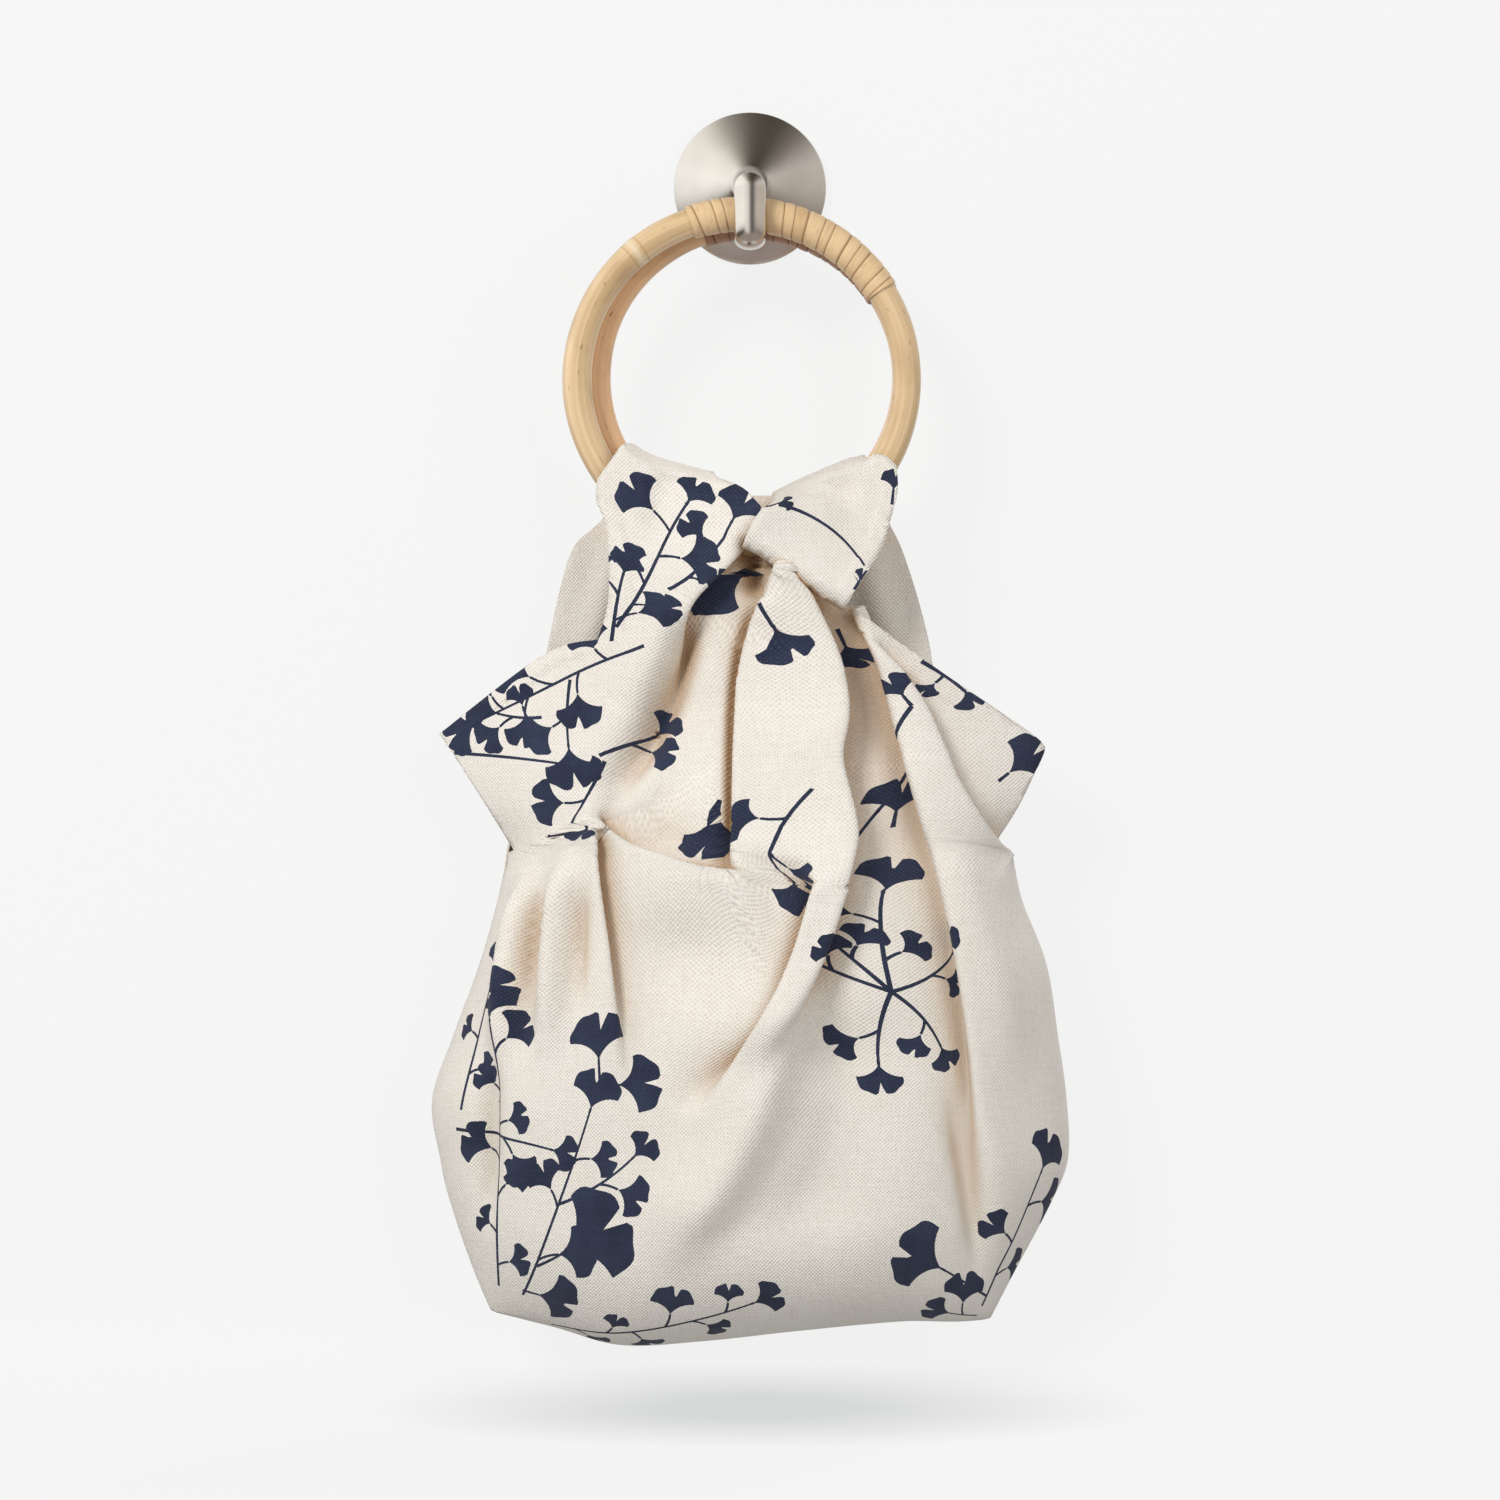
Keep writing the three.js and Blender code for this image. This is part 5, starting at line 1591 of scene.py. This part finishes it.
# %% The prong
PRONG = table(
    ["depth", "height", "width", "thick"],
    [
        [-15.5, 0, 12.4, 8.8],
        [-17.8, -0.2, 12.4, 8.8],
        [-20.2, -5, 12.4, 8.8],
        [-20.2, -15, 12.4, 8.0],
        [-23.6, -24.4, 12.2, 5.6],
        [-28.5, -27.4, 12.0, 4.0],
        [-34, -28.6, 12.0, 3.4],
        [-43, -28.5, 12.4, 5.0],
        [-51, -29.1, 12.8, 6.4],
        [-56, -29.8, 13.0, 7.8],
        [-59.5, -29.9, 13.1, 8.7],
        [-62.7, -28.6, 13.2, 8.8],
        [-64.0, -25.4, 13.2, 8.8],
        [-64.0, -15, 13.2, 8.8],
        [-64.0, -8.3, 13.2, 8.8],
    ],
)
PRONG_STEP, PRONG_SIDES = 0.4, 40
TIP_ANGLES = [15, 30, 45, 58, 70, 80, 87]
TIP_DOME, TIP_FLAT = 0.9, 0.35
PRONG_MAP = (0.8 * MM, 0.8 * MM)


def prong_sections():
    corners = np.array([[row["depth"], row["height"]] for row in PRONG], float)
    line = draw_line(corners, PRONG_STEP)
    travelled = walked(line)
    marks = [travelled[np.hypot(*(line - corner).T).argmin()] for corner in corners]
    wide = np.interp(travelled, marks, [row["width"] for row in PRONG])
    thick = np.interp(travelled, marks, [row["thick"] for row in PRONG])
    up = sideways(line)
    tip = (line[-1] - line[-2]) / np.hypot(*(line[-1] - line[-2]))
    sections = list(zip(line, up, wide, thick))
    for lean in np.radians(TIP_ANGLES):
        size = math.cos(lean)
        ahead = line[-1] + tip * math.sin(lean) * wide[-1] / 2 * TIP_DOME
        deep = thick[-1] * (TIP_FLAT + (1 - TIP_FLAT) * size) * size**0.3
        sections.append((ahead, up[-1], wide[-1] * size, deep))
    return sections


def prong_points():
    turn = np.linspace(0, 2 * np.pi, PRONG_SIDES + 1)
    rows = []
    for (depth, height), up, wide, thick in prong_sections():
        x, out = -np.cos(turn) * wide / 2, np.sin(turn) * thick / 2
        rows.append(np.stack([x, depth + up[0] * out, height + up[1] * out], 1))
    return np.array(rows)


prong = skin("steel_prong", prong_points(), PRONG_MAP, False, polished_steel)
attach(prong, "root")
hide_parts("hook_prong")
print("prong:", [round(v / MM, 1) for v in prong.dimensions], "mm")

# %% [markdown]
# The stage is a pale wall and floor in one curved sheet, seen but not lighting the bag, so that
# the cloth is lit by the lamps and the room alone. It glows in its own flat colour, as the even
# backdrop of a studio has it, and the soft shadow on the floor is painted in: an oval where the
# glow turns darker. From behind it is clear, so the back can be looked at as well.

# %% The wall and floor
FLOOR_HEIGHT, WALL_DEPTH, CORNER = -521.0, 2.5, 40.0
STAGE_TOP, STAGE_REACH = 2400.0, 2600.0
BACKDROP, SHADE, UNLIT = (0.835, 0.836, 0.834), (0.46, 0.475, 0.48), (0.075, 0.075, 0.074)
SHADOW = {"x": 4.0, "depth": -50.0, "half_width": 165.0, "half_depth": 92.0, "strength": 0.6}
SHADOW_LOW, SHADOW_HIGH = 1.0, 12.0


def stage_sheet():
    line = [[WALL_DEPTH, STAGE_TOP]]
    for turn in np.radians(np.linspace(0, 90, 13)):
        line.append([WALL_DEPTH - CORNER * (1 - math.cos(turn)),
                     FLOOR_HEIGHT + CORNER * (1 - math.sin(turn))])
    line.append([-STAGE_REACH, FLOOR_HEIGHT])
    points = [[x, y, z] for y, z in line for x in (-STAGE_REACH, STAGE_REACH)]
    faces = [[2 * i, 2 * i + 2, 2 * i + 3, 2 * i + 1] for i in range(len(line) - 1)]
    return add_mesh("wall_and_floor", points, faces)


def stage_finish():
    finish = Finish("matt_white", Roughness=0.95, Specular_IOR_Level=0.0, Emission_Strength=1.0,
                    Base_Color=UNLIT)
    x, y, z = finish.parts(finish.node("NewGeometry"))
    # Painted shadow: a soft oval under the bag where the floor's glow turns to the darker shade.
    low = 1.0 - z.between((FLOOR_HEIGHT + SHADOW_LOW) * MM, (FLOOR_HEIGHT + SHADOW_HIGH) * MM)
    across = (x - SHADOW["x"] * MM) / (SHADOW["half_width"] * MM)
    deep = (y - SHADOW["depth"] * MM) / (SHADOW["half_depth"] * MM)
    painted_shadow = 1.0 - (across * across + deep * deep).math("SQRT")
    painted_shadow = painted_shadow.between(0.0, 0.75) * low * SHADOW["strength"]
    finish.set(Emission_Color=finish.mix(painted_shadow, BACKDROP, SHADE))
    from_behind = finish.node("NewGeometry", output=6)
    clear = finish.node("BsdfTransparent")
    both = finish.tree.nodes.new("ShaderNodeMixShader")
    for slot, source in enumerate((from_behind.socket, finish.shader.outputs[0], clear.socket)):
        finish.tree.links.new(source, both.inputs[slot])
    surface = finish.tree.nodes["Material Output"].inputs["Surface"]
    finish.tree.links.new(both.outputs[0], surface)
    return finish.material


stage = stage_sheet()
stage.data.materials.append(stage_finish())
stage.visible_diffuse = stage.visible_glossy = stage.visible_shadow = False
print("floor at", FLOOR_HEIGHT, "mm")

# %% [markdown]
# The light is a soft one from the upper left and in front, with a weaker fill from the right and a
# touch from the side that shows the creases. A lamp behind is there only for the back of the bag.
# None of the lamps is seen in the steel, which has a room of its own to mirror.

# %% Lamps
AIM = (0.0, -0.05, -0.28)
LAMP_COLOUR = (1.0, 0.99, 0.975)
LAMPS = table(
    ["name", "place", "size", "power"],
    [
        ["key_lamp", (-1.0, -1.7, 0.8), (0.6, 0.6), 27.0],
        ["fill_lamp", (1.2, -1.9, 0.2), (1.2, 1.2), 12.0],
        ["side_lamp", (-1.5, -0.55, -0.15), (0.5, 0.9), 2.5],
        ["back_lamp", (1.3, 1.7, 0.9), (0.6, 0.6), 26.0],
    ],
)


def add_lamp(name, place, size, power):
    light = bpy.data.lights.new(name, "AREA")
    light.shape, light.size, light.size_y = "RECTANGLE", *size
    light.energy, light.color = power, LAMP_COLOUR
    piece = bpy.data.objects.new(name, light)
    bpy.context.collection.objects.link(piece)
    piece.location = place
    piece.rotation_euler = (Vector(AIM) - Vector(place)).to_track_quat("-Z", "Y").to_euler()
    piece.visible_glossy = False


for lamp in LAMPS:
    add_lamp(**lamp)
    print(lamp["name"], "gives", lamp["power"], "W")

# %% [markdown]
# Steel shows whatever stands round it, so its own reflections are drawn: a ring of light and dark
# fields round the line of sight for the cone, upright streaks straight ahead for the front of the
# prong, and a pale field behind. Only mirrored light meets them; the cloth is lit evenly.

# %% The room that the steel sees
EVEN_LIGHT = 0.46
STREAK_TINT = (1.0, 0.94, 0.87)
AHEAD, BEHIND = (0.80, 0.96), (0.5, 0.9)
BEHIND_COLOUR = (0.86, 0.84, 0.81)
REFLECTIONS = table(
    ["turn", "red", "green", "blue"],
    [
        [-180, 0.36, 0.29, 0.26],
        [-137, 0.38, 0.32, 0.29],
        [-120, 0.10, 0.085, 0.07],
        [-104, 0.14, 0.12, 0.10],
        [-93, 1.05, 1.01, 0.95],
        [-70, 1.36, 1.32, 1.25],
        [-36, 1.25, 1.2, 1.1],
        [-16, 0.42, 0.38, 0.33],
        [0, 0.11, 0.09, 0.07],
        [20, 0.07, 0.055, 0.04],
        [38, 0.24, 0.21, 0.18],
        [58, 0.78, 0.72, 0.66],
        [80, 0.66, 0.59, 0.52],
        [108, 0.30, 0.255, 0.22],
        [144, 0.40, 0.33, 0.29],
        [180, 0.36, 0.29, 0.26],
    ],
)
STREAKS = table(
    ["across", "light"],
    [
        [-0.9, 0.8],
        [-0.45, 1.0],
        [-0.2, 1.1],
        [-0.04, 0.6],
        [0.08, 0.16],
        [0.2, 0.09],
        [0.34, 0.22],
        [0.6, 0.4],
    ],
)


def room():
    world = bpy.data.worlds.new("room")
    world.use_nodes = True
    bench = Bench(world.node_tree)
    x, y, z = bench.parts(bench.node("TexCoord"))
    turn = x.math("ARCTAN2", z) / (2 * math.pi) + 0.5
    stops = [[row["turn"] / 360 + 0.5, (row["red"], row["green"], row["blue"])]
             for row in REFLECTIONS]
    fields = bench.node("ValToRGB", {"stops": stops}, Fac=turn)
    streaks = [[row["across"] / 2 + 0.5, [row["light"] * tint for tint in STREAK_TINT]]
               for row in STREAKS]
    upright = bench.node("ValToRGB", {"stops": streaks}, Fac=x / 2 + 0.5)
    fields = bench.mix((0.0 - y).between(*AHEAD), fields, upright)
    fields = bench.mix(y.between(*BEHIND), fields, BEHIND_COLOUR)
    mirrored = bench.node("LightPath", output=3)
    colour = bench.mix(mirrored, [EVEN_LIGHT] * 3, fields)
    put(bench.tree, bench.tree.nodes["Background"].inputs["Color"], colour)
    return world


bpy.context.scene.world = room()
print("the steel sees", len(REFLECTIONS), "fields and", len(STREAKS), "streaks")

# %% [markdown]
# The camera stands straight in front at half the height of the picture, far enough away for the
# bag to keep its natural proportions.

# %% Camera
FRAME_WIDTH = 635.1
SENSOR = 36.0
camera = bpy.data.objects.new("camera", bpy.data.cameras.new("camera"))
camera.data.sensor_width = SENSOR
camera.data.lens = SENSOR * SIGHT_DISTANCE / FRAME_WIDTH
camera.location = (0.0, (SIGHT_PLANE - SIGHT_DISTANCE) * MM, SIGHT_HEIGHT * MM)
camera.rotation_euler = (math.radians(90), 0.0, 0.0)
bpy.context.collection.objects.link(camera)
bpy.context.scene.camera = camera
bpy.context.scene.view_settings.view_transform = "Standard"
bpy.context.view_layer.update()
